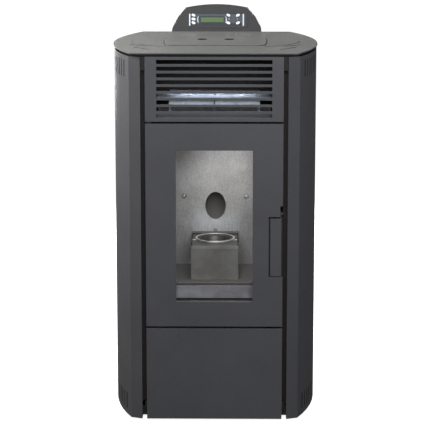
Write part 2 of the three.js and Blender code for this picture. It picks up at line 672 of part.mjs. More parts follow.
// ---------- side and rear panels ----------
function buildSidePanels() {
  const side = sidePoints(bodyArc, FOLD_Y, SIDE_REAR_Y);
  const rearX = side[side.length - 1][0];
  const line = [[STRIP_HALF, FACADE_RETURN], [STRIP_HALF, 0], ...side, [rearX - REAR_FLANGE, SIDE_REAR_Y]];
  const rows = [
    [PANEL_TOP - VENT_MARGIN_TOP - VENT_HEIGHT, PANEL_TOP - VENT_MARGIN_TOP],
    [PANEL_BOTTOM + VENT_MARGIN_BOTTOM, PANEL_BOTTOM + VENT_MARGIN_BOTTOM + VENT_HEIGHT],
  ];
  for (const [name, sign] of [['left_side_panel', -1], ['right_side_panel', 1]]) {
    let panel = rise(foldedSheet(line.map(([x, y]) => [sign * x, y]), sign * SHEET), PANEL_BOTTOM, PANEL_TOP);
    for (const [z0, z1] of rows) {
      for (let i = 0; i < VENT_COUNT; i += 1) {
        const y = VENT_FIRST_Y + i * VENT_PITCH;
        const x = sign * arcX(bodyArc, y);
        panel = cut(panel, block(x - 9, x + 9, y - VENT_WIDTH / 2, y + VENT_WIDTH / 2, z0, z1));
      }
    }
    place(name, panel, PAINT);
  }
}

const LOUVRE_ROWS = 6;
const LOUVRE_PITCH = 14;
const LOUVRE_HEIGHT = 5;
const LOUVRE_HALF = 45;
const LOUVRE_X = 80;
const LOUVRE_DROPS = [224, 494];    // lowest slot of each field below the panel's top

function buildRearPanel() {
  const half = sidePoints(bodyArc, FOLD_Y, SIDE_REAR_Y)[ARC_STEPS][0] - 0.5;
  const holes = [];
  for (const drop of LOUVRE_DROPS) {
    for (let i = 0; i < LOUVRE_ROWS; i += 1) {
      const z = PANEL_TOP - drop + i * LOUVRE_PITCH;
      const slot = oblong(LOUVRE_X - LOUVRE_HALF, LOUVRE_X + LOUVRE_HALF, z, z + LOUVRE_HEIGHT);
      holes.push(slot, mirrored(slot));
    }
  }
  holes.push(circle(FLUE_X, FLUE_Z, FLUE_R + 2 * GAP, 24), circle(INTAKE_X, INTAKE_Z, INTAKE_R + 2 * GAP, 20));
  const [x0, x1, z0, z1] = inletCutout(GAP);
  holes.push(oblong(x0, x1, z0, z1));
  const sheet = runBack(oblong(-half, half, TRAY_BOTTOM, PANEL_TOP), REAR_SHEET_FRONT, BODY_DEPTH, holes);
  place('rear_panel', sheet, PAINT);
}

// ---------- facade: lower panel and grille panel ----------
function facadePanel(z0, z1) {
  const line = [
    [FACADE_HALF, FACADE_RETURN], [FACADE_HALF, 0], [-FACADE_HALF, 0], [-FACADE_HALF, FACADE_RETURN]];
  const wrap = rise(foldedSheet(line, -SHEET), z0, z1);
  const inner = FACADE_HALF - SHEET - 0.5;
  const ledge = (z) => block(-inner, inner, 1, FACADE_RETURN - 6, z, z + SHEET);
  return join(wrap, ledge(z0), ledge(z1 - SHEET));
}

function buildFacade() {
  place('lower_panel', facadePanel(PANEL_BOTTOM, LOWER_PANEL_TOP), PAINT);
  let grille = facadePanel(GRILLE_BOTTOM, PANEL_TOP);
  for (let i = 0; i < GRILLE_GAPS; i += 1) {
    const z = GRILLE_FIRST_GAP + i * GRILLE_PITCH;
    grille = cut(grille, block(-GRILLE_HALF, GRILLE_HALF, -1, SHEET + 1, z, z + GRILLE_PITCH - GRILLE_BAR));
  }
  place('grille_panel', grille, PAINT);
}

// ---------- door ----------
const POCKET_BACK = 20;
const POCKET_WALL = 2;

function buildDoor() {
  const edge = oblong(-FACADE_HALF, FACADE_HALF, DOOR_BOTTOM, DOOR_TOP);
  const window = rounded(-WINDOW_HALF, WINDOW_HALF, WINDOW_BOTTOM, WINDOW_TOP, 1.5, 2);
  const face = runBack(edge, 0, DOOR_SKIN, [window]);
  const inside = offsetLine(edge, SHEET + 0.5, true);
  const returns = runBack(edge, 1, DOOR_RETURN, [inside]);
  const windowReturn = runBack(offsetLine(window, -SHEET, true), 1, GLASS_Y - 1.2, [window]);

  const left = HANDLE_LEFT - HANDLE_GAP;
  const [low, high] = [HANDLE_BOTTOM - HANDLE_GAP / 2, HANDLE_TOP + HANDLE_GAP];
  const neck = [HOOK_LEFT - 0.5, PIVOT_Z + HOOK_TOP + 4];
  const pocket = join(
    block(left - POCKET_WALL, FACADE_HALF, 1, POCKET_BACK + POCKET_WALL, low - POCKET_WALL, high + POCKET_WALL),
    block(neck[0] - POCKET_WALL, FACADE_HALF, 1, DOOR_RETURN, high - 1, neck[1] + POCKET_WALL));
  const hollow = join(
    block(left, FACADE_HALF + 1, -1, POCKET_BACK, low, high),
    block(neck[0], FACADE_HALF + 1, -1, DOOR_RETURN + 1, high - 12, neck[1]));
  const pivotX = [neck[0] - POCKET_WALL - 6, FACADE_HALF - 0.6];
  const pivot = rod([pivotX[0], PIVOT_Y, PIVOT_Z], [pivotX[1], PIVOT_Y, PIVOT_Z], PIVOT_R, 16);

  const lugHeight = 1.5 * HINGE_PIN_DEPTH;
  const lugs = [DOOR_TOP - lugHeight, DOOR_BOTTOM].map((z) => block(
    -FACADE_HALF + 1, HINGE_X + 9, 2, DOOR_RETURN, z, z + lugHeight));
  const boreDepth = HINGE_PIN_DEPTH + 0.5;
  const bores = [[DOOR_TOP - boreDepth, DOOR_TOP + 1], [DOOR_BOTTOM - 1, DOOR_BOTTOM + boreDepth]].map(
    ([z0, z1]) => rod([HINGE_X, HINGE_Y, z0], [HINGE_X, HINGE_Y, z1], HINGE_PIN_R + GAP, 20));
  const skin = join(cut(join(face, returns, windowReturn, pocket), hollow), ...lugs, pivot);
  place('door_skin', cut(skin, ...bores), PAINT);

  const glass = rounded(-WINDOW_HALF - GLASS_EDGE, WINDOW_HALF + GLASS_EDGE, WINDOW_BOTTOM - GLASS_EDGE,
    WINDOW_TOP + GLASS_EDGE, 3, 2);
  place('door_glass', runBack(glass, GLASS_Y, GLASS_Y + GLASS_THICK), GLASS);
  buildDoorFrame(glass);
  buildHandle();
}

// The inner frame clamps the glass from behind and carries the rope gasket that seals on the firebox.
function buildDoorFrame(glass) {
  const sight = rounded(-WINDOW_HALF + 2, WINDOW_HALF - 2, WINDOW_BOTTOM + 2, WINDOW_TOP - 2, 2, 2);
  const [low, high] = [DOOR_BOTTOM + DOOR_FRAME_LOW, DOOR_TOP - DOOR_FRAME_HIGH];
  const ring = (d) => rounded(-DOOR_FRAME_HALF + d, DOOR_FRAME_HALF - 14 - d, low + d, high - d, 6, 3);
  const frameFront = GLASS_Y + GLASS_THICK + GAP;
  const back = DOOR_FRAME_Y + DOOR_FRAME_DEPTH;
  const body = runBack(ring(0), frameFront, back, [offsetLine(glass, 3, true)]);
  const lip = runBack(offsetLine(glass, 1, true), frameFront, frameFront + 4, [sight]);
  const groove = runBack(ring(3), back - 4, back + 1, [ring(3 + GASKET_WIDTH)]);
  const standoffs = [-DOOR_FRAME_HALF + 12, DOOR_FRAME_HALF - 28].flatMap((x) => [low + 12, high - 12].map(
    (z) => rod([x, DOOR_SKIN + GAP, z], [x, frameFront + 1, z], 4, 8)));
  place('door_frame', cut(join(body, lip, ...standoffs), groove), CAST_IRON);
  const rope = runBack(ring(3 + GAP), back - 4 + GAP, MOUTH_PLATE_Y - GAP, [ring(3 + GASKET_WIDTH - GAP)]);
  place('door_gasket', rope, GASKET);
}

function buildHandle() {
  const right = FACADE_HALF - 0.4;
  const line = [
    [HANDLE_LEFT, 10], [HANDLE_LEFT, -HANDLE_PROUD], [HANDLE_RIGHT, -HANDLE_PROUD],
    [right, 4], [right, POCKET_BACK - 2]];
  const wrap = rise(foldedSheet(line, HANDLE_SHEET), HANDLE_BOTTOM, HANDLE_TOP);
  const [inner, outer] = [HANDLE_LEFT + 1, HANDLE_RIGHT - 1];
  const top = block(inner, outer, -HANDLE_PROUD + 1, PIVOT_Y - 10, HANDLE_TOP - HANDLE_SHEET, HANDLE_TOP);
  // The left flange stops short of the top, to clear the door as the handle turns.
  const flange = [HANDLE_LEFT - 1, HANDLE_LEFT + HANDLE_SHEET];
  const relief = block(...flange, HANDLE_SHEET - HANDLE_PROUD, 11, HANDLE_TOP - 6, HANDLE_TOP + 1);
  place('door_handle', join(cut(wrap, relief), top), PAINT);

  const x0 = HOOK_LEFT;
  const [nose, crest] = [PIVOT_Y + HOOK_REACH, PIVOT_Z + HOOK_TOP];
  const plate = [[PIVOT_Y - 7, HANDLE_TOP - 26], [PIVOT_Y + 3, HANDLE_TOP - 26], [PIVOT_Y + 9, PIVOT_Z - 3],
    [nose, PIVOT_Z + 3], [nose, crest - 2], [nose - 1.5, crest], [nose - 4, crest], [nose - 4, PIVOT_Z + 9],
    [PIVOT_Y + 2, PIVOT_Z + 9], [PIVOT_Y - 5, PIVOT_Z + 6], [PIVOT_Y - 7, PIVOT_Z]];
  const bore = rod([x0 - 1, PIVOT_Y, PIVOT_Z], [x0 + HOOK_THICK + 1, PIVOT_Y, PIVOT_Z], PIVOT_R + 0.1, 16);
  place('latch_hook', cut(runAcross(plate, x0, x0 + HOOK_THICK), bore), ZINC);
}

// The hinge brackets stand in the seams above and below the door. Their leaves, out of sight behind the
// grille and lower panels, are fixed to the left post.
function buildDoorHinges() {
  const [left, right] = [-FACADE_HALF + SHEET + 0.8, -POST_INNER];
  const arm = [
    [left, FACADE_RETURN], [HINGE_X - 6, HINGE_Y - 6], [HINGE_X + 6, HINGE_Y - 6], [HINGE_X + 6, HINGE_Y + 6],
    [right, FACADE_RETURN]];
  const bracket = (z0, z1, pinZ, leafZ) => join(
    rise(arm, z0, z1),
    block(left, right, FACADE_RETURN - 2, FACADE_RETURN, ...leafZ),
    rod([HINGE_X, HINGE_Y, z0 + 0.5], [HINGE_X, HINGE_Y, pinZ], HINGE_PIN_R, 20));
  const top = DOOR_TOP + 1.2;
  const bottom = DOOR_BOTTOM - GAP;
  place('door_hinge_top', bracket(top, top + 2.6, DOOR_TOP - HINGE_PIN_DEPTH, [top, top + 34]), ZINC);
  const pinTop = DOOR_BOTTOM + HINGE_PIN_DEPTH;
  place('door_hinge_bottom', bracket(bottom - 3.4, bottom, pinTop, [bottom - 34, bottom]), ZINC);
}

// ---------- top plate and hopper lid ----------
const PLATE_SLOTS = [               // start, middle and end: distance inside the widest half-width, and depth
  [[43, 257], [79.5, 174.5], [136, 134]],
  [[44, 187.5], [63.5, 161.5], [87.5, 141]],
  [[58, 125], [73.5, 104], [98.5, 76]],
];

// A slot of constant width along the circle through three points.
function arcSlot([a, m, b], width) {
  const d = 2 * (a[0] * (m[1] - b[1]) + m[0] * (b[1] - a[1]) + b[0] * (a[1] - m[1]));
  const sq = (p) => p[0] ** 2 + p[1] ** 2;
  const cx = (sq(a) * (m[1] - b[1]) + sq(m) * (b[1] - a[1]) + sq(b) * (a[1] - m[1])) / d;
  const cy = (sq(a) * (b[0] - m[0]) + sq(m) * (a[0] - b[0]) + sq(b) * (m[0] - a[0])) / d;
  const radius = Math.hypot(a[0] - cx, a[1] - cy);
  const start = Math.atan2(a[1] - cy, a[0] - cx);
  const turn = Math.atan2(b[1] - cy, b[0] - cx) - start;
  const end = start + Math.atan2(Math.sin(turn), Math.cos(turn));
  const edge = (r, from, to) => arcPoints(cx, cy, r, from, to, 5);
  return [...edge(radius + width / 2, start, end), ...edge(radius - width / 2, end, start)];
}

function buildTopPlate() {
  const slots = PLATE_SLOTS.map((points) => arcSlot(points.map(([d, y]) => [PLATE_HALF - d, y]), SLOT_WIDTH));
  const mouth = rounded(-MOUTH_HALF, MOUTH_HALF, MOUTH_FRONT, MOUTH_BACK, MOUTH_CORNER);
  const sheet = rise(plateOutline(0, 0, PLATE_BACK), PLATE_TOP - PLATE_THICK, PLATE_TOP,
    [mouth, ...slots, ...slots.map(mirrored)]);
  const far = RIM_INSET + RIM_WIDTH;
  const rim = rise(plateOutline(RIM_INSET, RIM_INSET, PLATE_BACK - RIM_INSET), PANEL_TOP + GAP,
    PLATE_TOP - PLATE_THICK + 0.5, [plateOutline(far, far, PLATE_BACK - far)]);
  place('top_plate', join(sheet, rim), PLATE_PAINT);
}

function lidOutline() {
  const middle = (LID_FRONT + LID_BACK) / 2;
  const sideX = (y) => LID_HALF - LID_BULGE_R + Math.sqrt(LID_BULGE_R ** 2 - (y - middle) ** 2);
  const quarter = Math.PI / 2;
  const [y0, y1] = [LID_FRONT + LID_CORNER, LID_BACK - LID_CORNER];
  const side = Array.from({ length: 7 }, (_, i) => y0 + (y1 - y0) * (i + 0.5) / 7).map((y) => [sideX(y), y]);
  const right = [
    ...arcPoints(sideX(y0) - LID_CORNER, y0, LID_CORNER, -quarter, 0, 4), ...side,
    ...arcPoints(sideX(y1) - LID_CORNER, y1, LID_CORNER, 0, quarter, 4),
  ];
  return [...right, ...mirrored(right)];
}

function buildLid() {
  const base = PLATE_TOP + GAP;
  const pinY = LID_BACK + LID_KNUCKLE_R + 0.6;
  const pinZ = base + LID_KNUCKLE_R;
  const cover = cut(
    solid(extruded(lidOutline(), LID_THICK - LID_CHAMFER, LID_CHAMFER).translate(0, 0, base)),
    block(-LID_HALF, LID_HALF, LID_FRONT, LID_BACK, base - 9, base));
  const skirtLine = rounded(-MOUTH_HALF + 2, MOUTH_HALF - 2, MOUTH_FRONT + 2, MOUTH_BACK - 2, MOUTH_CORNER - 2);
  const skirt = rise(skirtLine, base - SKIRT_DEPTH, base + 0.5, [offsetLine(skirtLine, SHEET, true)]);
  const holes = [-1, 1].map((s) => rod([s * FINGER_HOLE_X, FINGER_HOLE_Y, base - 1],
    [s * FINGER_HOLE_X, FINGER_HOLE_Y, base + LID_THICK + 1], FINGER_HOLE_R, 18));
  const half = LID_KNUCKLE_LENGTH / 2;
  const knuckles = [-1, 1].map((s) => join(
    rod([s * LID_KNUCKLE_X - half, pinY, pinZ], [s * LID_KNUCKLE_X + half, pinY, pinZ], LID_KNUCKLE_R, 10),
    block(s * LID_KNUCKLE_X - half, s * LID_KNUCKLE_X + half, LID_BACK - 6, pinY, base, base + 1.2)));
  const bores = [-1, 1].map((s) => rod([s * LID_KNUCKLE_X - half - 1, pinY, pinZ],
    [s * LID_KNUCKLE_X + half + 1, pinY, pinZ], LID_PIN_R + 0.2, 10));
  place('hopper_lid', cut(join(cut(join(cover, skirt), ...holes), ...knuckles), ...bores), PLATE_PAINT);

  const leafFront = pinY + LID_KNUCKLE_R + 0.5;
  const reach = LID_KNUCKLE_X + half + 14;
  const leaf = block(-reach, reach, leafFront, leafFront + 12, base, base + 1.5);
  const ears = [];
  for (const s of [-1, 1]) {
    for (const x of [s * LID_KNUCKLE_X - half - 0.5 - 8, s * LID_KNUCKLE_X + half + 0.5]) {
      ears.push(rod([x, pinY, pinZ], [x + 8, pinY, pinZ], LID_KNUCKLE_R, 10));
      ears.push(block(x, x + 8, pinY, leafFront + 1, base, base + 1.5));
    }
    const pin = [s * LID_KNUCKLE_X - half - 6, s * LID_KNUCKLE_X + half + 6];
    ears.push(rod([pin[0], pinY, pinZ], [pin[1], pinY, pinZ], LID_PIN_R, 10));
  }
  place('lid_hinge', join(leaf, ...ears), ZINC);
}

// ---------- firebox ----------
function chuteAxis(distance) {
  const angle = rad(CHUTE_ANGLE);
  return [0, LINER_Y + distance * Math.cos(angle), CHUTE_Z + distance * Math.sin(angle)];
}

function chuteCylinder(radius) {
  return rod(chuteAxis(-60), chuteAxis(CHUTE_MEET + 50), radius, CHUTE_SIDES);
}

function buildFirebox() {
  const outer = BOX_HALF + BOX_WALL;
  const shell = join(
    block(-outer, outer, BOX_FRONT - 1, BOX_BACK + BOX_WALL, BOX_BOTTOM - BOX_WALL, BOX_TOP + BOX_WALL),
    block(-MOUTH_PLATE_HALF, MOUTH_PLATE_HALF, MOUTH_PLATE_Y, BOX_FRONT, TRAY_TOP + GAP, MOUTH_PLATE_TOP));
  const hollow = block(-BOX_HALF, BOX_HALF, BOX_FRONT, BOX_BACK, BOX_BOTTOM, BOX_TOP);
  const opening = block(-OPENING_HALF, OPENING_HALF, MOUTH_PLATE_Y - 1, BOX_FRONT + 1, BOX_BOTTOM, BOX_TOP - 5);
  const archTop = BOX_BOTTOM - SERVICE_ARCH_DROP;
  const archway = block(-OPENING_HALF, OPENING_HALF, MOUTH_PLATE_Y - 1, BOX_FRONT + 1, 0, archTop);
  const smokePort = rod([FAN_X, BOX_BACK - 1, FAN_Z], [FAN_X, BOX_BACK + BOX_WALL + 1, FAN_Z], FAN_PORT_R, 24);
  const backY = [BOX_BACK - 1, BOX_BACK + BOX_WALL + 1];
  place('firebox_shell', cut(
    shell, hollow, opening, archway, smokePort, chuteCylinder(CHUTE_R + CHUTE_WALL + GAP),
    serviceHole(INTAKE_X, INTAKE_R, backY), serviceHole(IGNITER_X, IGNITER_R, backY)), DARK_STEEL);

  const linerY = [LINER_Y - 1, LINER_Y + LINER_THICK + 1];
  const liner = cut(
    block(-BOX_HALF + GAP, BOX_HALF - GAP, LINER_Y, LINER_Y + LINER_THICK, FLOOR_TOP + GAP, LINER_TOP),
    chuteCylinder(CHUTE_R), serviceHole(INTAKE_X, INTAKE_R, linerY), serviceHole(IGNITER_X, IGNITER_R, linerY));
  const foldY = [LINER_Y + 1, LINER_Y + LINER_FOLD];
  const foldBack = block(-BOX_HALF + GAP, BOX_HALF - GAP, ...foldY, LINER_TOP - LINER_THICK, LINER_TOP);
  place('rear_liner', join(liner, foldBack), STEEL);

  const floorY = [BOX_FRONT + 1, LINER_Y + LINER_THICK];
  const floor = block(-BOX_HALF + GAP, BOX_HALF - GAP, ...floorY, FLOOR_TOP - FLOOR_THICK, FLOOR_TOP);
  const dropHalf = POT_BOX_HALF - DROP_MARGIN;
  const dropY = [POT_BOX_FRONT + DROP_MARGIN, LINER_Y - DROP_MARGIN];
  const drop = block(-dropHalf, dropHalf, ...dropY, FLOOR_TOP - FLOOR_THICK - 1, FLOOR_TOP + 1);
  place('firebox_floor', cut(floor, drop), CAST_IRON);
  buildAshPan();
  buildBurnPot();
}

function serviceHole(x, radius, [y0, y1]) {
  return rod([x, y0, INTAKE_Z], [x, y1, INTAKE_Z], radius + GAP, 14);
}

function buildAshPan() {
  const low = BOX_BOTTOM + GAP;
  const front = BOX_FRONT + 0.7;
  const high = FLOOR_TOP - FLOOR_THICK - PAN_TRAY_HEADROOM;
  const [inner, innerY] = [PAN_HALF - PAN_WALL, [front + PAN_WALL, front + PAN_DEPTH - PAN_WALL]];
  const tray = cut(
    block(-PAN_HALF, PAN_HALF, front, front + PAN_DEPTH, low, high),
    block(-inner, inner, ...innerY, low + PAN_WALL, high + 1));
  const face = block(-PAN_FRONT_HALF, PAN_FRONT_HALF, MOUTH_PLATE_Y + 1.2, front + 1, low, PAN_TOP);
  const lip = runAcross([[MOUTH_PLATE_Y + 1.2, PAN_TOP], [front + 1, PAN_TOP], [front + 4, PAN_TOP + 3],
    [front + 2, PAN_TOP + 3.4], [MOUTH_PLATE_Y + 2, PAN_TOP + 0.8]], -PAN_FRONT_HALF, PAN_FRONT_HALF);
  place('ash_pan', join(tray, face, lip), STEEL);
}

function buildBurnPot() {
  const [y0, y1] = [POT_BOX_FRONT, LINER_Y - GAP];
  const low = FLOOR_TOP + GAP;
  const wall = POT_BOX_WALL;
  const box = cut(
    block(-POT_BOX_HALF, POT_BOX_HALF, y0, y1, low, POT_BOX_TOP),
    block(-POT_BOX_HALF + wall, POT_BOX_HALF - wall, y0 + wall, y1 - wall, low - 1, POT_BOX_TOP - wall),
    rod([0, POT_Y, POT_BOX_TOP - wall - 1], [0, POT_Y, POT_BOX_TOP + 1], POT_BOWL_R + GAP, POT_SIDES),
    serviceHole(INTAKE_X, INTAKE_R, [y1 - wall - 1, y1 + 1]),
    serviceHole(IGNITER_X, IGNITER_R, [y1 - wall - 1, y1 + 1]));
  const tab = block(-5, 5, y1 - wall, y1, POT_BOX_TOP - 1, POT_BOX_TOP + 7);
  place('burn_pot_box', join(box, tab), STEEL);

  const rim = POT_BOX_TOP + GAP;
  const foot = rim - POT_DEPTH;
  let pot = turned([
    [0, foot], [POT_FOOT_R, foot], [POT_BOWL_R, rim - 6], [POT_BOWL_R, rim], [POT_RING_R, rim],
    [POT_RING_R, rim + POT_COLLAR - 3], [POT_RING_R - 2, rim + POT_COLLAR], [POT_RING_R - 4, rim + POT_COLLAR],
    [POT_BOWL_R - POT_WALL, rim], [POT_FOOT_R - POT_WALL, foot + POT_WALL], [0, foot + POT_WALL],
  ], 0, POT_Y, POT_SIDES);
  for (const [count, radius] of POT_HOLE_RINGS) {
    for (let i = 0; i < count; i += 1) {
      const angle = 2 * Math.PI * i / count;
      const [x, y] = [radius * Math.cos(angle), POT_Y + radius * Math.sin(angle)];
      pot = cut(pot, rod([x, y, foot - 1], [x, y, foot + POT_WALL + 1], POT_HOLE_R, 5));
    }
  }
  place('burn_pot', pot, CAST_IRON);

  const igniterRod = (y0, y1, radius) => rod([IGNITER_X, y0, INTAKE_Z], [IGNITER_X, y1, INTAKE_Z], radius, 14);
  const boxFace = BOX_BACK + BOX_WALL;
  place('igniter', join(
    igniterRod(POT_Y + POT_BOWL_R + 14, boxFace + 21, IGNITER_R),
    igniterRod(boxFace + GAP, boxFace + 5, IGNITER_R + 4)), STEEL);
  const [intakeStart, intakeEnd] = [LINER_Y - 6, INTAKE_END].map((y) => [INTAKE_X, y, INTAKE_Z]);
  place('air_intake_pipe', tube(intakeStart, intakeEnd, INTAKE_R, INTAKE_R - INTAKE_WALL), ZINC);
}

// ---------- hot air: jacket, duct, deflector and convection blower ----------
function buildAirPath() {
  const front = BOX_FRONT + GAP;
  const foot = TRAY_TOP + GAP;
  const arch = [
    [JACKET_HALF, foot], [JACKET_HALF, JACKET_TOP], [-JACKET_HALF, JACKET_TOP], [-JACKET_HALF, foot]];
  const jacket = runBack(foldedSheet(arch, SHEET), front, JACKET_BACK);
  const passage = [-DUCT_HALF + 3, DUCT_HALF - 3, DUCT_FRONT + 12, DUCT_BACK - 3];
  place('air_jacket', cut(jacket, block(...passage, JACKET_TOP - 5, JACKET_TOP + 5)), ZINC);

  const [sheet, inner] = [DUCT_SHEET, DUCT_HALF - DUCT_SHEET];
  const box = block(-DUCT_HALF, DUCT_HALF, DUCT_FRONT, DUCT_BACK, DUCT_BOTTOM, DUCT_TOP);
  const innerY = [DUCT_FRONT + sheet, DUCT_BACK - sheet];
  const hollow = block(-inner, inner, ...innerY, DUCT_BOTTOM - 1, DUCT_TOP - sheet);
  const mouthZ = [DUCT_MOUTH_BOTTOM, DUCT_MOUTH_BOTTOM + DUCT_MOUTH_HEIGHT];
  const mouth = block(-DUCT_HALF + 4, DUCT_HALF - 4, DUCT_FRONT - 1, DUCT_FRONT + 3, ...mouthZ);
  const brow = [-GRILLE_HALF + 1, GRILLE_HALF - 1, DUCT_FRONT - 12, DUCT_FRONT + 30];
  place('hot_air_duct', join(cut(box, hollow, mouth), block(...brow, DUCT_TOP - 0.5, DUCT_TOP + sheet)), ZINC);

  const seat = GRILLE_BOTTOM + SHEET + GAP;
  const line = [[DEFLECTOR_FRONT, seat], [DEFLECTOR_BEND, seat], [DUCT_FRONT - sheet, seat + DEFLECTOR_RISE]];
  place('air_deflector', runAcross(foldedSheet(line, sheet), -GRILLE_HALF, GRILLE_HALF), ZINC);
  buildConvectionBlower();
}

// A fan scroll's outline, whose radius grows by one turn from the given start angle.
function spiral(cx, cy, near, far, start, turn) {
  const steps = 18;
  return Array.from({ length: steps + 1 }, (_, i) => {
    const angle = start + turn * 2 * Math.PI * i / steps;
    const radius = near + (far - near) * i / steps;
    return [cx + radius * Math.cos(angle), cy + radius * Math.sin(angle)];
  });
}

// A drum of forward-curved blades between two rings, on a hub, with its axis along X.
function bladedDrum(cy, cz, radius, half, blades, bladeDepth, shaft) {
  const inner = radius - bladeDepth;
  const ringAt = (x0, x1) => tube([x0, cy, cz], [x1, cy, cz], radius, inner, blades);
  const disc = rod([-2, cy, cz], [2, cy, cz], radius, blades);
  const parts = [ringAt(-half, -half + 2), ringAt(half - 2, half), disc];
  for (let i = 0; i < blades; i += 1) {
    const angle = 2 * Math.PI * i / blades;
    const at = (r, a) => [cy + r * Math.cos(angle + a), cz + r * Math.sin(angle + a)];
    const middle = (radius + inner) / 2;
    const blade = [at(inner + 0.3, 0), at(middle, -0.03), at(radius - 1.6, 0.06), at(middle, 0.01)];
    parts.push(runAcross(blade, -half + 0.5, half - 0.5));
  }
  parts.push(rod([-shaft, cy, cz], [shaft, cy, cz], 5, 12));
  return join(...parts);
}

function buildConvectionBlower() {
  const [near, far] = [BLOWER_R + 7, BLOWER_R + 24];
  const wall = 1.5;
  const half = BLOWER_HALF;
  const outletTop = BLOWER_Z + far + 22;
  const volume = (inset, top) => {
    const across = [-half + inset, half - inset];
    const throat = [BLOWER_Y + near - 30 + inset, BLOWER_Y + far - inset];
    return join(
      runAcross(spiral(BLOWER_Y, BLOWER_Z, near - inset, far - inset, 0, -1), ...across),
      block(...across, ...throat, BLOWER_Z, top));
  };
  const outer = volume(0, outletTop);
  const inner = volume(wall, outletTop + 5);
  const axle = (x0, x1, radius, sides) => rod(
    [x0, BLOWER_Y, BLOWER_Z], [x1, BLOWER_Y, BLOWER_Z], radius, sides);
  const inlets = [-1, 1].map((s) => axle(s * (half - 4), s * (half + 4), BLOWER_R - 8, 16));
  const legX = half - 12;
  const legs = [-legX, legX].map((x) => block(
    x - 10, x + 10, BLOWER_Y - 40, BLOWER_Y + 40, TRAY_TOP + GAP, BLOWER_Z - near));
  const spider = [BLOWER_Y - 4, BLOWER_Y + 4, BLOWER_Z - BLOWER_R, BLOWER_Z + BLOWER_R];
  const spokes = [
    block(-half, -half + wall, ...spider), axle(-half, -half + wall, 12, 12),
    block(half - wall, half, ...spider), axle(half - wall, half, 12, 12)];
  const bores = axle(-half - 2, half + 2, 5 + GAP, 12);
  place('convection_blower_housing', cut(join(cut(outer, inner, ...inlets), ...legs, ...spokes), bores), ZINC);
  const wheel = bladedDrum(BLOWER_Y, BLOWER_Z, BLOWER_R, half - 8, 16, 12, half - 0.2);
  place('convection_impeller', wheel, DARK_STEEL);
}

// ---------- exhaust fan and flue ----------
function buildExhaust() {
  const y0 = BOX_BACK + BOX_WALL + GAP;
  const y1 = y0 + FAN_DEPTH;
  const wall = 1.5;
  const scroll = (grow) => spiral(FAN_X, FAN_Z, FAN_WHEEL_R + 6 + grow, FAN_WHEEL_R + 21 + grow, Math.PI, 1);
  const outlet = [FLUE_X - 20, FLUE_X + 20];
  const mouthZ = FLUE_Z + FLUE_BEND + 12;
  const ductOuter = block(outlet[0] - wall, outlet[1] + wall, y0, y1, mouthZ, FAN_Z);
  const ductInner = block(outlet[0], outlet[1], y0 + wall, y1 - wall, mouthZ - 5, FAN_Z);
  const cy = (y0 + y1) / 2;
  const collar = rod([FLUE_X, cy, mouthZ], [FLUE_X, cy, mouthZ + 3], FLUE_R, FLUE_SIDES);
  const outer = join(runBack(scroll(wall), y0, y1), ductOuter, collar);
  const inner = join(runBack(scroll(0), y0 + wall, y1 - wall), ductInner);
  const inlet = rod([FAN_X, y0 - 1, FAN_Z], [FAN_X, y0 + wall + 1, FAN_Z], FAN_PORT_R, 24);
  const bore = rod([FAN_X, y1 - wall - 1, FAN_Z], [FAN_X, y1 + 1, FAN_Z], 6, 16);
  place('exhaust_fan_housing', cut(outer, inner, inlet, bore), ZINC);
  buildExhaustWheel(y0 + 6, y1 - wall);

  const motorY = y1 + GAP;
  const motor = cut(join(
    rod([FAN_X, motorY, FAN_Z], [FAN_X, motorY + 5, FAN_Z], 38, 18),
    rod([FAN_X, motorY + 4, FAN_Z], [FAN_X, motorY + 44, FAN_Z], 30, 18),
    rod([FAN_X, motorY + 43, FAN_Z], [FAN_X, motorY + 50, FAN_Z], 16, 12)),
  rod([FAN_X, motorY - 1, FAN_Z], [FAN_X, motorY + 20, FAN_Z], 4 + GAP, 12));
  place('exhaust_motor', motor, MOTOR);

  const pipe = (radius, spare) => solid(loft(
    elbow(FLUE_X, cy, mouthZ - GAP + spare, FLUE_END + spare, radius)));
  place('flue_pipe', cut(pipe(FLUE_R, 0), pipe(FLUE_R - FLUE_WALL, 1)), ZINC);
}

// Rings down from height z0, round the bend, and back to depth y1.
function elbow(x, y, z0, y1, radius) {
  const ring = (cy, cz, tilt) => circle(0, 0, radius, FLUE_SIDES).map(([u, v]) => [
    x + u, cy - v * Math.cos(tilt), cz - v * Math.sin(tilt)]);
  const bend = Array.from({ length: 6 }, (_, i) => {
    const angle = i / 5 * Math.PI / 2;
    return ring(y + FLUE_BEND * (1 - Math.cos(angle)), FLUE_Z + FLUE_BEND * (1 - Math.sin(angle)), angle);
  });
  return [ring(y, z0, 0), ...bend, ring(y1, FLUE_Z, Math.PI / 2)];
}

function buildExhaustWheel(y0, y1) {
  const radius = FAN_WHEEL_R;
  const round = (from, to, r, sides) => rod([FAN_X, from, FAN_Z], [FAN_X, to, FAN_Z], r, sides);
  const parts = [round(y1 - 8, y1 - 6, radius, 20), round(y1 - 16, y1 - 7, 10, 12)];
  for (let i = 0; i < 12; i += 1) {
    const angle = 2 * Math.PI * i / 12;
    const at = (r, a) => [FAN_X + r * Math.cos(angle + a), FAN_Z + r * Math.sin(angle + a)];
    const tip = radius - 1;
    const blade = [at(16, 0), at(30, -0.05), at(tip, -0.22), at(tip, -0.18), at(30, 0), at(16, 0.12)];
    parts.push(runBack(blade, y0, y1 - 7));
  }
  place('exhaust_impeller', join(...parts, round(y1 - 8, y1 + 18, 4, 12)), DARK_STEEL);
}

// ---------- pellet feed ----------
function augerAxis(distance) {
  const angle = rad(AUGER_ANGLE);
  return [0, AUGER_LOW_Y - distance * Math.cos(angle), AUGER_LOW_Z + distance * Math.sin(angle)];
}

function augerRod(from, to, radius, sides = 16) {
  return rod(augerAxis(from), augerAxis(to), radius, sides);
}

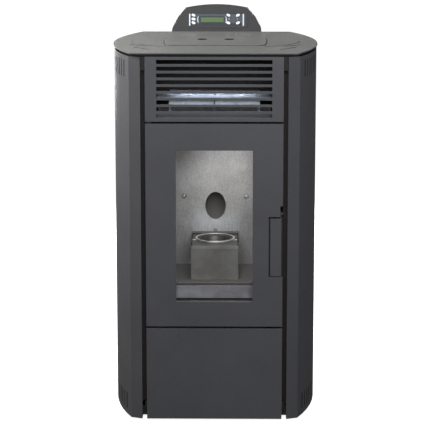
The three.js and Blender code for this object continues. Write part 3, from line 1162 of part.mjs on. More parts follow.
// A screw thread's flight as one swept strip, along Z from 0 to length.
function flight(length) {
  const perTurn = 10;
  const steps = Math.round(perTurn * (length - SCREW_FLIGHT) / SCREW_PITCH);
  return loft(Array.from({ length: steps + 1 }, (_, i) => {
    const angle = 2 * Math.PI * i / perTurn;
    const z = SCREW_PITCH * i / perTurn;
    const root = SCREW_SHAFT_R - 1;
    const corners = [[root, z], [root, z + SCREW_FLIGHT], [SCREW_R, z + SCREW_FLIGHT], [SCREW_R, z]];
    return corners.map(([r, height]) => [r * Math.cos(angle), r * Math.sin(angle), height]);
  }));
}

function buildFeed() {
  const inner = AUGER_TUBE_R - AUGER_TUBE_WALL;
  const portHalf = OUTLET_HALF - 4;
  const portY = [OUTLET_FRONT + 6, OUTLET_BACK - 6];
  const inletPort = block(-portHalf, portHalf, ...portY, SPOUT_BOTTOM - 20, OUTLET_Z + 60);
  const outletPort = rod(chuteAxis(CHUTE_MEET - 52), chuteAxis(CHUTE_MEET + 14), CHUTE_R - 8, 12);
  const barrel = cut(
    augerRod(0, AUGER_LENGTH, AUGER_TUBE_R), augerRod(-1, AUGER_LENGTH - 3, inner), inletPort, outletPort);
  const flange = cut(augerRod(0, 4, AUGER_TUBE_R + 8), augerRod(-1, 5, inner));
  place('auger_tube', join(barrel, flange), ZINC);

  const geometry = flight(AUGER_LENGTH - 12);
  const up = new THREE.Vector3(0, 0, 1);
  const along = new THREE.Vector3(...augerAxis(1)).sub(new THREE.Vector3(...augerAxis(0)));
  geometry.applyQuaternion(new THREE.Quaternion().setFromUnitVectors(up, along));
  geometry.translate(...augerAxis(5));
  place('auger_screw', join(augerRod(-20, AUGER_LENGTH - 5, SCREW_SHAFT_R, 10), solid(geometry)), STEEL);

  const turn = new THREE.Matrix4().makeRotationX(rad(90 - AUGER_ANGLE)).setPosition(...augerAxis(0));
  const gearbox = block(-30, 30, -30, 30, -34, -GAP, turn);
  const motor = join(gearbox, augerRod(-72, -33, 22, 18), augerRod(-76, -71, 9, 12));
  place('auger_motor', cut(motor, augerRod(-24, 1, SCREW_SHAFT_R + GAP)), MOTOR);

  const pipe = rod(chuteAxis(-60), chuteAxis(CHUTE_MEET + 16.3), CHUTE_R + CHUTE_WALL, CHUTE_SIDES);
  const inFront = block(-60, 60, LINER_Y - 150, LINER_Y + LINER_THICK + GAP, CHUTE_Z - 200, CHUTE_Z + 200);
  const barrelWay = augerRod(-20, AUGER_LENGTH + 60, AUGER_TUBE_R + GAP);
  place('pellet_chute', cut(pipe, chuteCylinder(CHUTE_R), barrelWay, inFront), ZINC);
  buildHopper();
}

function buildHopper() {
  const wall = SHEET;
  const top = PLATE_TOP - PLATE_THICK - GAP;
  const mouth = (grow) => [-HOPPER_HALF - grow, HOPPER_HALF + grow, HOPPER_FRONT - grow, HOPPER_BACK + grow];
  const outlet = (grow) => [-OUTLET_HALF - grow, OUTLET_HALF + grow, OUTLET_FRONT - grow, OUTLET_BACK + grow];
  const outer = join(
    taper(outlet(0), OUTLET_Z, mouth(0), HOPPER_SLOPE_TOP),
    block(...mouth(0), HOPPER_SLOPE_TOP - 0.5, top),
    block(...mouth(10), top - 2.5, top),
    block(...outlet(0), SPOUT_BOTTOM, OUTLET_Z + 1));
  const inner = join(
    taper(outlet(-wall), OUTLET_Z, mouth(-wall), HOPPER_SLOPE_TOP),
    block(...mouth(-wall), HOPPER_SLOPE_TOP - 0.5, top + 1),
    block(...outlet(-wall), SPOUT_BOTTOM - 1, OUTLET_Z + 1));
  place('hopper', cut(outer, inner, augerRod(-40, AUGER_LENGTH, AUGER_TUBE_R + GAP)), ZINC);
}

// ---------- control housing ----------
const consoleMatrix = new THREE.Matrix4()
  .makeRotationX(-rad(CONSOLE_LEAN)).setPosition(0, CONSOLE_FRONT, PLATE_TOP);

function consoleOutline(inset) {
  const crownSag = CONSOLE_CROWN - CONSOLE_OUTLINE[CONSOLE_OUTLINE.length - 1][1];
  const shoulder = CONSOLE_OUTLINE[CONSOLE_OUTLINE.length - 1][0];
  const radius = (shoulder ** 2 + crownSag ** 2) / (2 * crownSag);
  const spread = Math.asin(shoulder / radius);
  const [start, end] = [Math.PI / 2 - spread, Math.PI / 2 + spread];
  const crown = arcPoints(0, CONSOLE_CROWN - radius, radius, start, end, 10).slice(1, -1);
  const line = [...CONSOLE_OUTLINE, ...crown, ...mirrored(CONSOLE_OUTLINE)].map(([x, z]) => [x, PLATE_TOP + z]);
  return inset === 0 ? line : offsetLine(line, inset, true);
}

function consoleSide(inset, back) {
  const lean = Math.tan(rad(CONSOLE_LEAN));
  const wall = BODY_DEPTH + GAP + inset;
  const front = CONSOLE_FRONT + inset;
  const height = CONSOLE_CROWN + 5;
  const [low, high] = [PLATE_TOP - CONSOLE_DROP - 5 + inset, PLATE_TOP + height];
  return [
    [wall, low], [wall, PANEL_TOP - 8], [front, PANEL_TOP - 1], [front, PLATE_TOP],
    [front + lean * height, high], [back, high], [back, low]];
}

function buildConsole() {
  const wall = CONSOLE_WALL;
  const half = 20 + Math.max(...CONSOLE_OUTLINE.map(([x]) => x));
  const span = [BODY_DEPTH - 50, CONSOLE_BACK + 50];
  const form = (inset, back) => runAcross(consoleSide(inset, back), -half, half).intersect(
    runBack(consoleOutline(inset), ...span));
  const outer = form(0, CONSOLE_BACK);
  const inner = form(wall, CONSOLE_BACK - wall);
  const window = block(-FASCIA_HALF, FASCIA_HALF, -6, 6, FASCIA_LOW, FASCIA_HIGH, consoleMatrix);
  const cableWay = block(-20, 20, BODY_DEPTH - 4, BODY_DEPTH + 6, PANEL_TOP - 40, PANEL_TOP - 26);
  place('control_housing', cut(outer, inner, window, cableWay), CONSOLE_PAINT);

  const face = new THREE.Group();
  face.applyMatrix4(consoleMatrix);
  stove.add(face);
  buildFascia(face);
}

// A leaf-shaped key: an ellipse drawn to a point at both ends.
function keyOutline(x, z, turn, grow) {
  const [a, b] = [BUTTON_LONG / 2 + grow, BUTTON_SHORT / 2 + grow];
  return Array.from({ length: 12 }, (_, i) => {
    const angle = 2 * Math.PI * i / 12;
    const [u, v] = [a * Math.cos(angle), b * Math.sin(angle)];
    return [x + u * Math.cos(turn) - v * Math.sin(turn), z + u * Math.sin(turn) + v * Math.cos(turn)];
  });
}

function keyPlaces() {
  const tilt = rad(BUTTON_TILT);
  const [low, middle, high] = BUTTON_ROWS.map((height) => FASCIA_LOW + height);
  const [near, far] = BUTTON_RIGHT_X;
  return [
    [BUTTON_LEFT_X, high, -tilt], [BUTTON_LEFT_X, middle, -tilt / 2], [BUTTON_LEFT_X, low, -tilt],
    [near, high, -tilt], [near, low, -tilt], [far, high, tilt], [far, low, tilt],
  ];
}

function buildFascia(face) {
  const edge = rounded(-FASCIA_HALF + GAP, FASCIA_HALF - GAP, FASCIA_LOW + GAP, FASCIA_HIGH - GAP, 2, 2);
  const screen = oblong(LCD_LEFT, LCD_RIGHT, LCD_LOW, LCD_HIGH);
  const keyHoles = keyPlaces().map(([x, z, turn]) => keyOutline(x, z, turn, GAP));
  const sunk = FASCIA_SUNK;
  const plate = runBack(edge, sunk, sunk + FASCIA_THICK, [screen, ...keyHoles]);
  const bars = [-FASCIA_HALF + 4.2, FASCIA_HALF - 7.4].map(
    (x) => block(x, x + 3.2, 0.2, sunk + 0.5, FASCIA_LOW + 2, FASCIA_HIGH - 2));
  place('control_fascia', join(plate, ...bars), FASCIA, face);
  const back = sunk + FASCIA_THICK;
  const keyBack = back + 1.3;
  const screenY = [sunk + 0.4, back + 2.5];
  place('lcd_window', block(
    LCD_LEFT + GAP, LCD_RIGHT - GAP, ...screenY, LCD_LOW + GAP, LCD_HIGH - GAP), LCD, face);
  keyPlaces().forEach(([x, z, turn], i) => {
    const cap = runBack(keyOutline(x, z, turn, 0), sunk - BUTTON_PROUD, keyBack);
    const flange = runBack(keyOutline(x, z, turn, 1), back + GAP, keyBack);
    place(`key_${i + 1}`, join(cap, flange), KEY, face);
  });
  const boardY = back + 2.8;
  const peg = [back + GAP, boardY + 1, FASCIA_LOW + 4, FASCIA_LOW + 8];
  const board = join(
    block(-FASCIA_HALF + 4, FASCIA_HALF - 4, boardY, boardY + 1.6, FASCIA_LOW + 3, FASCIA_HIGH - 3),
    block(-FASCIA_HALF + 6, -FASCIA_HALF + 10, ...peg),
    block(FASCIA_HALF - 10, FASCIA_HALF - 6, ...peg),
    block(-20, 30, boardY + 1, boardY + 9, FASCIA_LOW + 6, FASCIA_HIGH - 8));
  place('display_board', board, BOARD, face);
}

// ---------- electrics at the rear ----------
function inletCutout(grow) {
  const [half, tall] = [INLET_HALF + grow, INLET_TALL_HALF + grow];
  return [INLET_X - half, INLET_X + half, INLET_Z - tall, INLET_Z + tall];
}

function buildElectrics() {
  const [x0, x1, z0, z1] = inletCutout(0);
  const outside = BODY_DEPTH + GAP;
  const body = join(
    block(x0, x1, BODY_DEPTH - 30, outside + 1, z0, z1),
    runBack(rounded(x0 - 4, x1 + 4, z0 - 4, z1 + 4, 3, 2), outside, outside + 2.5));
  const socketLine = [[-12, 8], [12, 8], [12, 20], [8, 25], [-8, 25], [-12, 20]];
  const socket = runBack(socketLine.map(([dx, dz]) => [INLET_X + dx, z0 + dz]), BODY_DEPTH - 16, outside + 4);
  const pins = [[-7, 13], [0, 17], [7, 13]].map(([dx, dz]) => block(
    INLET_X + dx - 1, INLET_X + dx + 1, BODY_DEPTH - 17, BODY_DEPTH - 2, z0 + dz, z0 + dz + 4));
  const switchZ = z1 - 15;
  const well = block(INLET_X - 11, INLET_X + 11, BODY_DEPTH - 12, outside + 4, switchZ - 8, switchZ + 8);
  const axle = rod([INLET_X - 12, outside - 2, switchZ], [INLET_X + 12, outside - 2, switchZ], 1.2, 10);
  place('mains_inlet', join(cut(body, socket, well), ...pins, axle), BLACK_PLASTIC);

  const tilt = rad(ROCKER_SWING / 2);
  const shape = [[-4, -6.6], [2.4, -6.8], [1.2, 0], [2.4, 6.8], [-4, 6.6]].map(([y, z]) => [
    y * Math.cos(tilt) - z * Math.sin(tilt) + outside - 2, y * Math.sin(tilt) + z * Math.cos(tilt) + switchZ]);
  const rocker = cut(runAcross(shape, INLET_X - 10.4, INLET_X + 10.4),
    rod([INLET_X - 12, outside - 2, switchZ], [INLET_X + 12, outside - 2, switchZ], 1.3, 10));
  place('rocker_switch', rocker, BLACK_PLASTIC);

  place('control_board', controlBoard(), BOARD);
}

// The board stands on four posts on the rear sheet and carries a transformer, a relay and a row of terminals.
function controlBoard() {
  const wall = REAR_SHEET_FRONT - GAP;
  const [low, high] = [PANEL_TOP - BOARD_DROP, PANEL_TOP - BOARD_DROP + BOARD_HEIGHT];
  const centre = (low + high) / 2;
  const face = wall - BOARD_STAND;
  const posts = [-BOARD_HALF + 7, BOARD_HALF - 7].flatMap((dx) => [low + 7, high - 7].map(
    (z) => rod([BOARD_X + dx, wall, z], [BOARD_X + dx, face - 0.3, z], 3.5, 8)));
  const parts = [[-50, -20, -30, 20, 26], [-5, 20, -20, 10, 18], [30, 50, -35, 35, 14]].map(
    ([x0, x1, dz0, dz1, tall]) => block(
      BOARD_X + x0, BOARD_X + x1, face - 0.3 - tall, face + 0.7, centre + dz0, centre + dz1));
  const sheet = block(BOARD_X - BOARD_HALF, BOARD_X + BOARD_HALF, face - 1.3, face + 0.3, low, high);
  return join(sheet, ...posts, ...parts);
}

buildBase();
buildPosts();
buildSidePanels();
buildRearPanel();
buildFacade();
buildDoor();
buildDoorHinges();
buildTopPlate();
buildLid();
buildFirebox();
buildAirPath();
buildExhaust();
buildFeed();
buildConsole();
buildElectrics();

// The origin is the middle of the footprint, on the floor.
stove.updateMatrixWorld(true);
const extent = new THREE.Box3().setFromObject(stove);
stove.position.set(-(extent.min.x + extent.max.x) / 2, -(extent.min.y + extent.max.y) / 2, -extent.min.z);
stove.updateMatrixWorld(true);

export default stove;
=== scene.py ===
import json
from math import copysign, cos, pi, radians, sin

import bmesh
import bpy
from mathutils import Matrix, Vector


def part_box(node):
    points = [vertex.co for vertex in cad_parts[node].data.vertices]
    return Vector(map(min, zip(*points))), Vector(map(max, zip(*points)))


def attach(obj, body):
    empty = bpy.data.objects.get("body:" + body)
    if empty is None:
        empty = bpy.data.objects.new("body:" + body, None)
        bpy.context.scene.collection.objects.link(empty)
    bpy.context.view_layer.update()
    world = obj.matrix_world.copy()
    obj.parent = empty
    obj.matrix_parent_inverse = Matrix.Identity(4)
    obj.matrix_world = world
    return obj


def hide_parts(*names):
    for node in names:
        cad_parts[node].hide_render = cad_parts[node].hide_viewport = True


# A free-standing pellet stove: curved painted flanks, a flat front of three
# painted panels with a glazed fire door, a lidded top plate and a leaning
# control console. Everything is in metres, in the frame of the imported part.

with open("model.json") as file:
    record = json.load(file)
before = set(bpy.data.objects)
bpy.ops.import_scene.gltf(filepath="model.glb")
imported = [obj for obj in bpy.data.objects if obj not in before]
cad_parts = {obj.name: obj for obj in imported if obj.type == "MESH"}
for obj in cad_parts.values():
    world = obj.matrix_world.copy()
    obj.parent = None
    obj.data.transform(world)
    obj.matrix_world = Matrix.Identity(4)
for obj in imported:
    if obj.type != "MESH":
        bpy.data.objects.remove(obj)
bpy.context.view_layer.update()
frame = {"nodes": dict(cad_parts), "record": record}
NODES = frame["nodes"]
BODY_OF = {
    node: body
    for body, nodes in frame["record"]["behaviour"]["bodies"].items()
    for node in nodes
}
SLOT_OF = {entry["node"]: entry["material_slot"] for entry in frame["record"]["subparts"]}

MM = 0.001
RIGHT = Vector((1, 0, 0))
BACK = Vector((0, 1, 0))
FORWARD = Vector((0, -1, 0))
UP = Vector((0, 0, 1))
UPRIGHT = Matrix.Rotation(pi / 2, 4, "X")   # what lay flat faces the door

# ---- camera

CAMERA_PLACE = Vector((0.06079, -4.85799, 1.47286))
CAMERA_TILT_DOWN = 0.2018752
CAMERA_TURN = 0.0128309
CAMERA_LENS_MM = 159.07
CAMERA_SENSOR_MM = 36.0


def make_camera():
    """The place and lens that the stove is seen from, a little to its right."""
    data = bpy.data.cameras.new("camera")
    data.lens = CAMERA_LENS_MM
    data.sensor_width = CAMERA_SENSOR_MM
    data.sensor_fit = "AUTO"
    camera = bpy.data.objects.new("camera", data)
    camera.location = CAMERA_PLACE
    camera.rotation_euler = (pi / 2 - CAMERA_TILT_DOWN, 0, CAMERA_TURN)
    bpy.context.scene.collection.objects.link(camera)
    bpy.context.scene.camera = camera


# ---- node shaders


class Finish:
    """A procedural material on one Principled shader, in object coordinates."""

    def __init__(self, name, colour, roughness, metallic=0.0, **sockets):
        self.material = bpy.data.materials.new(name)
        self.material.use_nodes = True
        self.tree = self.material.node_tree
        self.shader = self.tree.nodes["Principled BSDF"]
        self.colour = colour
        self.shader.inputs["Base Color"].default_value = (*colour, 1)
        self.shader.inputs["Roughness"].default_value = roughness
        self.shader.inputs["Metallic"].default_value = metallic
        for socket, value in sockets.items():
            self.shader.inputs[socket.replace("_", " ")].default_value = value
        self.place = self.node("ShaderNodeTexCoord").outputs["Object"]

    def node(self, kind, links=None, **settings):
        made = self.tree.nodes.new(kind)
        for name, value in settings.items():
            if hasattr(made, name):
                setattr(made, name, value)
            else:
                made.inputs[name].default_value = value
        for socket, source in (links or {}).items():
            self.tree.links.new(source, made.inputs[socket])
        return made

    def stretched(self, scale):
        """The object's own coordinates, scaled differently along X, Y and Z."""
        mapping = self.node("ShaderNodeMapping", {"Vector": self.place}, vector_type="TEXTURE")
        mapping.inputs["Scale"].default_value = [1 / s for s in scale]
        return mapping.outputs["Vector"]

    def noise(self, scale, detail=3.0, place=None, roughness=0.55):
        made = self.node(
            "ShaderNodeTexNoise", {"Vector": place or self.place},
            Scale=scale, Detail=detail, Roughness=roughness,
        )
        return made.outputs["Fac"]

    def summed(self, *sources):
        total = sources[0]
        for source in sources[1:]:
            total = self.node("ShaderNodeMath", {0: total, 1: source}, operation="ADD").outputs[0]
        return total

    def spread(self, source, low, high, start=0.0, end=1.0):
        """source carried from start..end to low..high."""
        made = self.node("ShaderNodeMapRange", {"Value": source})
        limits = {"From Min": start, "From Max": end, "To Min": low, "To Max": high}
        for socket, value in limits.items():
            made.inputs[socket].default_value = value
        return made.outputs["Result"]

    def mottled(self, source, low, high, start=0.3, end=0.7, tint=(1, 1, 1)):
        """Varies the colour from low to high with a texture; tint colours the low end."""
        ramp = self.node("ShaderNodeValToRGB", {"Fac": self.spread(source, 0, 1, start, end)})
        dark = [c * low * t for c, t in zip(self.colour, tint)]
        light = [min(1, c * high) for c in self.colour]
        ramp.color_ramp.elements[0].color = (*dark, 1)
        ramp.color_ramp.elements[1].color = (*light, 1)
        self.tree.links.new(ramp.outputs["Color"], self.shader.inputs["Base Color"])
        return self

    def uneven(self, source, low, high, start=0.3, end=0.7):
        """Varies the roughness from low to high with a texture."""
        rough = self.spread(source, low, high, start, end)
        self.tree.links.new(rough, self.shader.inputs["Roughness"])
        return self

    def relief(self, source, depth, strength=1.0):
        """Raises and lowers the surface by up to depth, in metres."""
        bump = self.node("ShaderNodeBump", {"Height": source}, Distance=depth, Strength=strength)
        before = self.shader.inputs["Normal"]
        if before.is_linked:
            self.tree.links.new(before.links[0].from_socket, bump.inputs["Normal"])
        self.tree.links.new(bump.outputs["Normal"], before)
        return self


def powder_coat(name, colour, roughness):
    """Fine textured paint: a pebbled skin with faint clouding."""
    made = Finish(name, colour, roughness)
    made.mottled(made.summed(made.noise(9, 4), made.noise(420, 2)), 0.9, 1.1, 0.7, 1.3)
    made.uneven(made.noise(160, 2), roughness - 0.05, roughness + 0.06)
    return made.relief(made.noise(1400, 2), 0.00004, 0.5).material


def brushed_steel(name, colour, roughness):
    """Bare sheet with a vertical grain, light speckles and soft heat stains."""
    made = Finish(name, colour, roughness, metallic=0.55)
    grain = made.noise(1, 3, made.stretched((700, 700, 30)))
    stain = made.noise(13, 5)
    speckle = made.noise(480, 2)
    made.mottled(made.summed(grain, stain, speckle), 0.62, 1.22, 1.15, 1.85, (1.06, 1, 0.94))
    made.uneven(grain, roughness - 0.08, roughness + 0.1)
    return made.relief(grain, 0.00005, 0.5).material


def plain_steel(name, colour, roughness):
    """Bent mill-finish sheet: dull, with handling marks and faint dark smudges."""
    made = Finish(name, colour, roughness, metallic=0.6)
    cloud = made.noise(30, 5)
    grain = made.noise(1, 3, made.stretched((90, 90, 1500)))
    made.mottled(made.summed(cloud, grain), 0.8, 1.12, 0.75, 1.25, (1.05, 1, 0.95))
    made.uneven(cloud, roughness - 0.08, roughness + 0.1)
    return made.relief(grain, 0.00003, 0.4).material


def galvanised(name, colour, roughness):
    """Zinc-coated sheet with its crystal pattern."""
    made = Finish(name, colour, roughness, metallic=0.75)
    spangle = made.node("ShaderNodeTexVoronoi", {"Vector": made.place}, Scale=90)
    made.mottled(spangle.outputs["Color"], 0.85, 1.12, 0.2, 0.8)
    made.uneven(spangle.outputs["Distance"], roughness - 0.08, roughness + 0.08, 0.0, 0.7)
    return made.material


def cast_metal(name, colour, roughness):
    """Sand-cast iron: coarse pitted skin."""
    made = Finish(name, colour, roughness, metallic=0.6)
    made.mottled(made.noise(60, 5), 0.7, 1.25)
    made.uneven(made.noise(90, 3), roughness - 0.1, roughness + 0.1)
    return made.relief(made.noise(700, 4), 0.0002, 0.6).material


def knitted_rope(name, colour):
    """Glass-fibre rope: a coarse knit with a furry sheen."""
    made = Finish(name, colour, 0.95, Sheen_Weight=0.4)
    knit = made.node("ShaderNodeTexVoronoi", {"Vector": made.place}, Scale=420)
    # painted shade: each knit cell is darker towards its edges, in the hollows between the loops
    made.mottled(knit.outputs["Distance"], 1.15, 0.6, 0.0, 0.6)
    return made.relief(knit.outputs["Distance"], 0.0005, 0.8).material


def moulded(name, colour, roughness, shine=0.5):
    """Injection-moulded plastic with a fine even grain."""
    made = Finish(name, colour, roughness, Specular_IOR_Level=shine)
    made.mottled(made.noise(25, 3), 0.95, 1.05)
    made.uneven(made.noise(300, 2), roughness - 0.04, roughness + 0.05)
    return made.relief(made.noise(2200, 2), 0.00002, 0.5).material


def printed_board(name, colour):
    """Green laminate with the faint raised net of its tracks."""
    made = Finish(name, colour, 0.4)
    tracks = made.node(
        "ShaderNodeTexVoronoi", {"Vector": made.place}, Scale=130, feature="DISTANCE_TO_EDGE"
    )
    made.mottled(tracks.outputs["Distance"], 1.7, 0.85, 0.02, 0.09)
    return made.relief(tracks.outputs["Distance"], 0.00003, 0.5).material


def display(name, colour):
    """A lit liquid-crystal pane: two faint rows of empty character cells."""
    made = Finish(name, colour, 0.35, Specular_IOR_Level=0.2)
    cells = made.node("ShaderNodeTexBrick", {"Vector": made.place}, Scale=1)
    for socket, value in (
        ("Brick Width", 3.4 * MM), ("Row Height", 6.2 * MM),
        ("Mortar Size", 0.35 * MM), ("Mortar Smooth", 0.4),
    ):
        cells.inputs[socket].default_value = value
    cells.offset = 0
    turned = made.node("ShaderNodeMapping", {"Vector": made.place})
    turned.inputs["Rotation"].default_value = (pi / 2, 0, 0)
    made.tree.links.new(turned.outputs["Vector"], cells.inputs["Vector"])
    return made.mottled(cells.outputs["Fac"], 0.9, 1.12, 0.0, 1.0).material


# the share a pane mirrors: face on, what a grazing view adds, and how late it does
PANE_MIRROR_FACE_ON = 0.036
PANE_MIRROR_GAIN = 0.96
PANE_MIRROR_RISE = 5


def clear_pane(name, tint):
    """A thin clear pane: it mirrors by its angle and lets the rest through."""
    material = bpy.data.materials.new(name)
    material.use_nodes = True
    tree = material.node_tree
    tree.nodes.remove(tree.nodes["Principled BSDF"])
    through = tree.nodes.new("ShaderNodeBsdfTransparent")
    through.inputs["Color"].default_value = (*tint, 1)
    gloss = tree.nodes.new("ShaderNodeBsdfGlossy")
    gloss.inputs["Roughness"].default_value = 0.03
    gloss.inputs["Color"].default_value = (0.8, 0.8, 0.8, 1)
    facing = tree.nodes.new("ShaderNodeLayerWeight")
    facing.inputs["Blend"].default_value = 0.5
    power = tree.nodes.new("ShaderNodeMath")
    power.operation = "POWER"
    power.inputs[1].default_value = PANE_MIRROR_RISE
    share = tree.nodes.new("ShaderNodeMath")
    share.operation = "MULTIPLY_ADD"
    share.inputs[1].default_value = PANE_MIRROR_GAIN
    share.inputs[2].default_value = PANE_MIRROR_FACE_ON
    mix = tree.nodes.new("ShaderNodeMixShader")
    tree.links.new(facing.outputs["Facing"], power.inputs[0])
    tree.links.new(power.outputs["Value"], share.inputs[0])
    tree.links.new(share.outputs["Value"], mix.inputs["Fac"])
    tree.links.new(through.outputs["BSDF"], mix.inputs[1])
    tree.links.new(gloss.outputs["BSDF"], mix.inputs[2])
    tree.links.new(mix.outputs["Shader"], tree.nodes["Material Output"].inputs["Surface"])
    return material


FINISHES = {
    name: maker(name, *values)
    for name, maker, *values in (
        ("body_paint", powder_coat, (0.072, 0.0725, 0.079), 0.5),
        ("plate_paint", powder_coat, (0.118, 0.119, 0.116), 0.45),
        ("dark_steel", powder_coat, (0.028, 0.027, 0.026), 0.6),
        ("firebox_steel", brushed_steel, (0.42, 0.42, 0.425), 0.45),
        ("zinc_steel", galvanised, (0.5, 0.52, 0.54), 0.42),
        ("cast_iron", cast_metal, (0.10, 0.095, 0.088), 0.42),
        ("door_glass", clear_pane, (0.97, 0.97, 0.965)),
        ("gasket_rope", knitted_rope, (0.30, 0.30, 0.28)),
        ("console_plastic", moulded, (0.026, 0.0262, 0.0275), 0.5, 0.3),
        ("fascia_plastic", moulded, (0.048, 0.058, 0.074), 0.45, 0.3),
        ("lcd_glass", display, (0.062, 0.125, 0.044)),
        ("key_plastic", moulded, (0.78, 0.82, 0.88), 0.35),
        ("black_plastic", moulded, (0.02, 0.02, 0.021), 0.45),
        ("circuit_board", printed_board, (0.02, 0.12, 0.05)),
        ("motor_metal", galvanised, (0.42, 0.43, 0.44), 0.4),
    )
}

# Tones inside one slot: the slot says what a piece is made of, these how it looks.
DULL_STEEL = plain_steel("dull_steel", (0.24, 0.24, 0.235), 0.5)
BLUE_STEEL = plain_steel("blue_steel", (0.44, 0.45, 0.50), 0.45)
PALE_STEEL = plain_steel("pale_steel", (0.31, 0.31, 0.31), 0.5)
# painted shade: a darker copy of plain steel for the upward faces of the pot box and the ash pan
SHADED_TOP_STEEL = plain_steel("shaded_top_steel", (0.11, 0.11, 0.112), 0.55)
DEFLECTOR_PAINT = powder_coat("deflector_paint", (0.19, 0.195, 0.21), 0.5)
GUARD_GREY = powder_coat("guard_grey", (0.055, 0.058, 0.06), 0.6)
FLOOR_STEEL = plain_steel("floor_steel", (0.21, 0.205, 0.205), 0.55)
# painted shade: the posts are near black to stand for the shade deep in the gaps beside the front
POST_SHADE_PAINT = powder_coat("post_painted_shade", (0.014, 0.0105, 0.0085), 0.7)
# near black: the black grommets and the brow's notch, and painted shade in slots, gaps and under
# sheets
BLACK_AND_SHADE = powder_coat("black_and_painted_shade", (0.006, 0.0055, 0.005), 0.8)
CHUTE_GREY = moulded("chute_grey", (0.075, 0.071, 0.068), 0.7)
DUCT_ZINC = galvanised("duct_zinc", (0.62, 0.68, 0.76), 0.55)
# painted sheen: a blue-grey paint on the galvanised brow; its tone and its blue stand in for the
# zinc's sheen
BROW_SHEEN_PAINT = powder_coat("brow_painted_sheen", (0.13, 0.148, 0.185), 0.5)
BRIGHT_STEEL = plain_steel("bright_steel", (0.62, 0.62, 0.61), 0.3)
# painted highlight: a lighter paint on the eased edges of the panels and the plate
EDGE_HIGHLIGHT_PAINT = powder_coat("painted_edge_highlight", (0.13, 0.132, 0.14), 0.4)
DARK_GREY = moulded("dark_grey", (0.022, 0.025, 0.028), 0.5, shine=0.3)
SILVER = moulded("silver", (0.52, 0.56, 0.63), 0.35)

# ---- mesh tools

SHARP_ANGLE = radians(32)


def smooth(mesh, angle=SHARP_ANGLE):
    """Shades a mesh round, but for the edges sharper than angle."""
    mesh.polygons.foreach_set("use_smooth", [True] * len(mesh.polygons))
    mesh.set_sharp_from_angle(angle=angle)


def show(name, form, body, slot, stands_for=(), finish=None, edge=None, angle=SHARP_ANGLE):
    """Makes a piece of a bmesh, and gives it its body and its finish, the slot's own when none is
    given.
    """
    mesh = bpy.data.meshes.new(name)
    form.to_mesh(mesh)
    form.free()
    smooth(mesh, angle)
    mesh.materials.append(finish or FINISHES[slot])
    if edge:
        mesh.materials.append(edge)
    piece = bpy.data.objects.new(name, mesh)
    bpy.context.scene.collection.objects.link(piece)
    weighted = piece.modifiers.new("flat_faces_stay_flat", "WEIGHTED_NORMAL")
    weighted.keep_sharp = True
    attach(piece, body)
    if stands_for:
        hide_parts(*stands_for)
    return piece


def merged(*forms):
    """Several bmeshes as one; the given ones are used up."""
    whole = bmesh.new()
    for form in forms:
        mesh = bpy.data.meshes.new("part")
        form.to_mesh(mesh)
        form.free()
        whole.from_mesh(mesh)
        bpy.data.meshes.remove(mesh)
    return whole


def middle(low, high):
    """The centre of a box."""
    return [(a + b) / 2 for a, b in zip(low, high)]


def shifted(x, y, z):
    """A placing moved along each axis, and not turned."""
    return Matrix.Translation((x, y, z))


def aimed(point, direction, up=None):
    """A placing whose Z axis points along direction and whose Y axis is near up."""
    z = direction.normalized()
    guide = up or (UP if abs(z.z) < 0.9 else BACK)
    x = guide.cross(z).normalized()
    turn = Matrix((x, z.cross(x), z)).transposed().to_4x4()
    return Matrix.Translation(point) @ turn


def lofted(rings, closed=False):
    """A skin through rings of points, with a face at each open end."""
    form = bmesh.new()
    rows = [[form.verts.new(point) for point in ring] for ring in rings]
    pairs = list(zip(rows, rows[1:]))
    if closed:
        pairs.append((rows[-1], rows[0]))
    else:
        form.faces.new(rows[0][::-1])
        form.faces.new(rows[-1])
    for one, other in pairs:
        for i in range(len(one)):
            j = (i + 1) % len(one)
            form.faces.new((one[i], one[j], other[j], other[i]))
    bmesh.ops.recalc_face_normals(form, faces=form.faces)
    return form


def turned(profile, steps, place, shape=None):
    """(radius, height) points turned round Z; shape(k, angle) can scale ring k's radius."""
    rings = []
    for k, (radius, height) in enumerate(profile):
        ring = []
        for i in range(steps):
            angle = 2 * pi * i / steps
            r = max(radius, 1e-6) * (shape(k, angle) if shape else 1)
            ring.append(place @ Vector((r * cos(angle), r * sin(angle), height)))
        rings.append(ring)
    return lofted(rings)


def ring_of(profile, steps, place):
    """A closed (radius, height) outline turned round Z, such as a tube or a washer."""
    rings = []
    for i in range(steps):
        angle = 2 * pi * i / steps
        rings.append([
            place @ Vector((r * cos(angle), r * sin(angle), h)) for r, h in profile
        ])
    return lofted(rings, closed=True)


def slab(outline, depth, place, holes=()):
    """A flat outline with holes, raised by depth along the placing's Z axis."""
    form = bmesh.new()
    edges = []
    for loop in (outline, *holes):
        verts = [form.verts.new((x, y, 0)) for x, y in loop]
        edges += [form.edges.new((verts[i - 1], verts[i])) for i in range(len(verts))]
    bmesh.ops.triangle_fill(form, edges=edges, use_beauty=True)
    low = list(form.verts)
    high = {v: form.verts.new((v.co.x, v.co.y, depth)) for v in low}
    rims = [edge for edge in form.edges if edge.is_boundary]
    for face in list(form.faces):
        form.faces.new([high[v] for v in reversed(face.verts)])
    for edge in rims:
        a, b = edge.verts
        form.faces.new((a, b, high[b], high[a]))
    bmesh.ops.recalc_face_normals(form, faces=form.faces)
    bmesh.ops.dissolve_limit(
        form, angle_limit=radians(0.5), verts=form.verts, edges=form.edges
    )
    form.transform(place)
    return form


def block(low, high):
    """A plain box between two corners."""
    form = bmesh.new()
    bmesh.ops.create_cube(form, size=1)
    size = [b - a for a, b in zip(low, high)]
    form.transform(shifted(*middle(low, high)) @ Matrix.Diagonal((*size, 1)))
    return form


def bar(low, high, soft=0.3 * MM):
    """A box between two corners with eased edges."""
    return ease(block(low, high), soft)


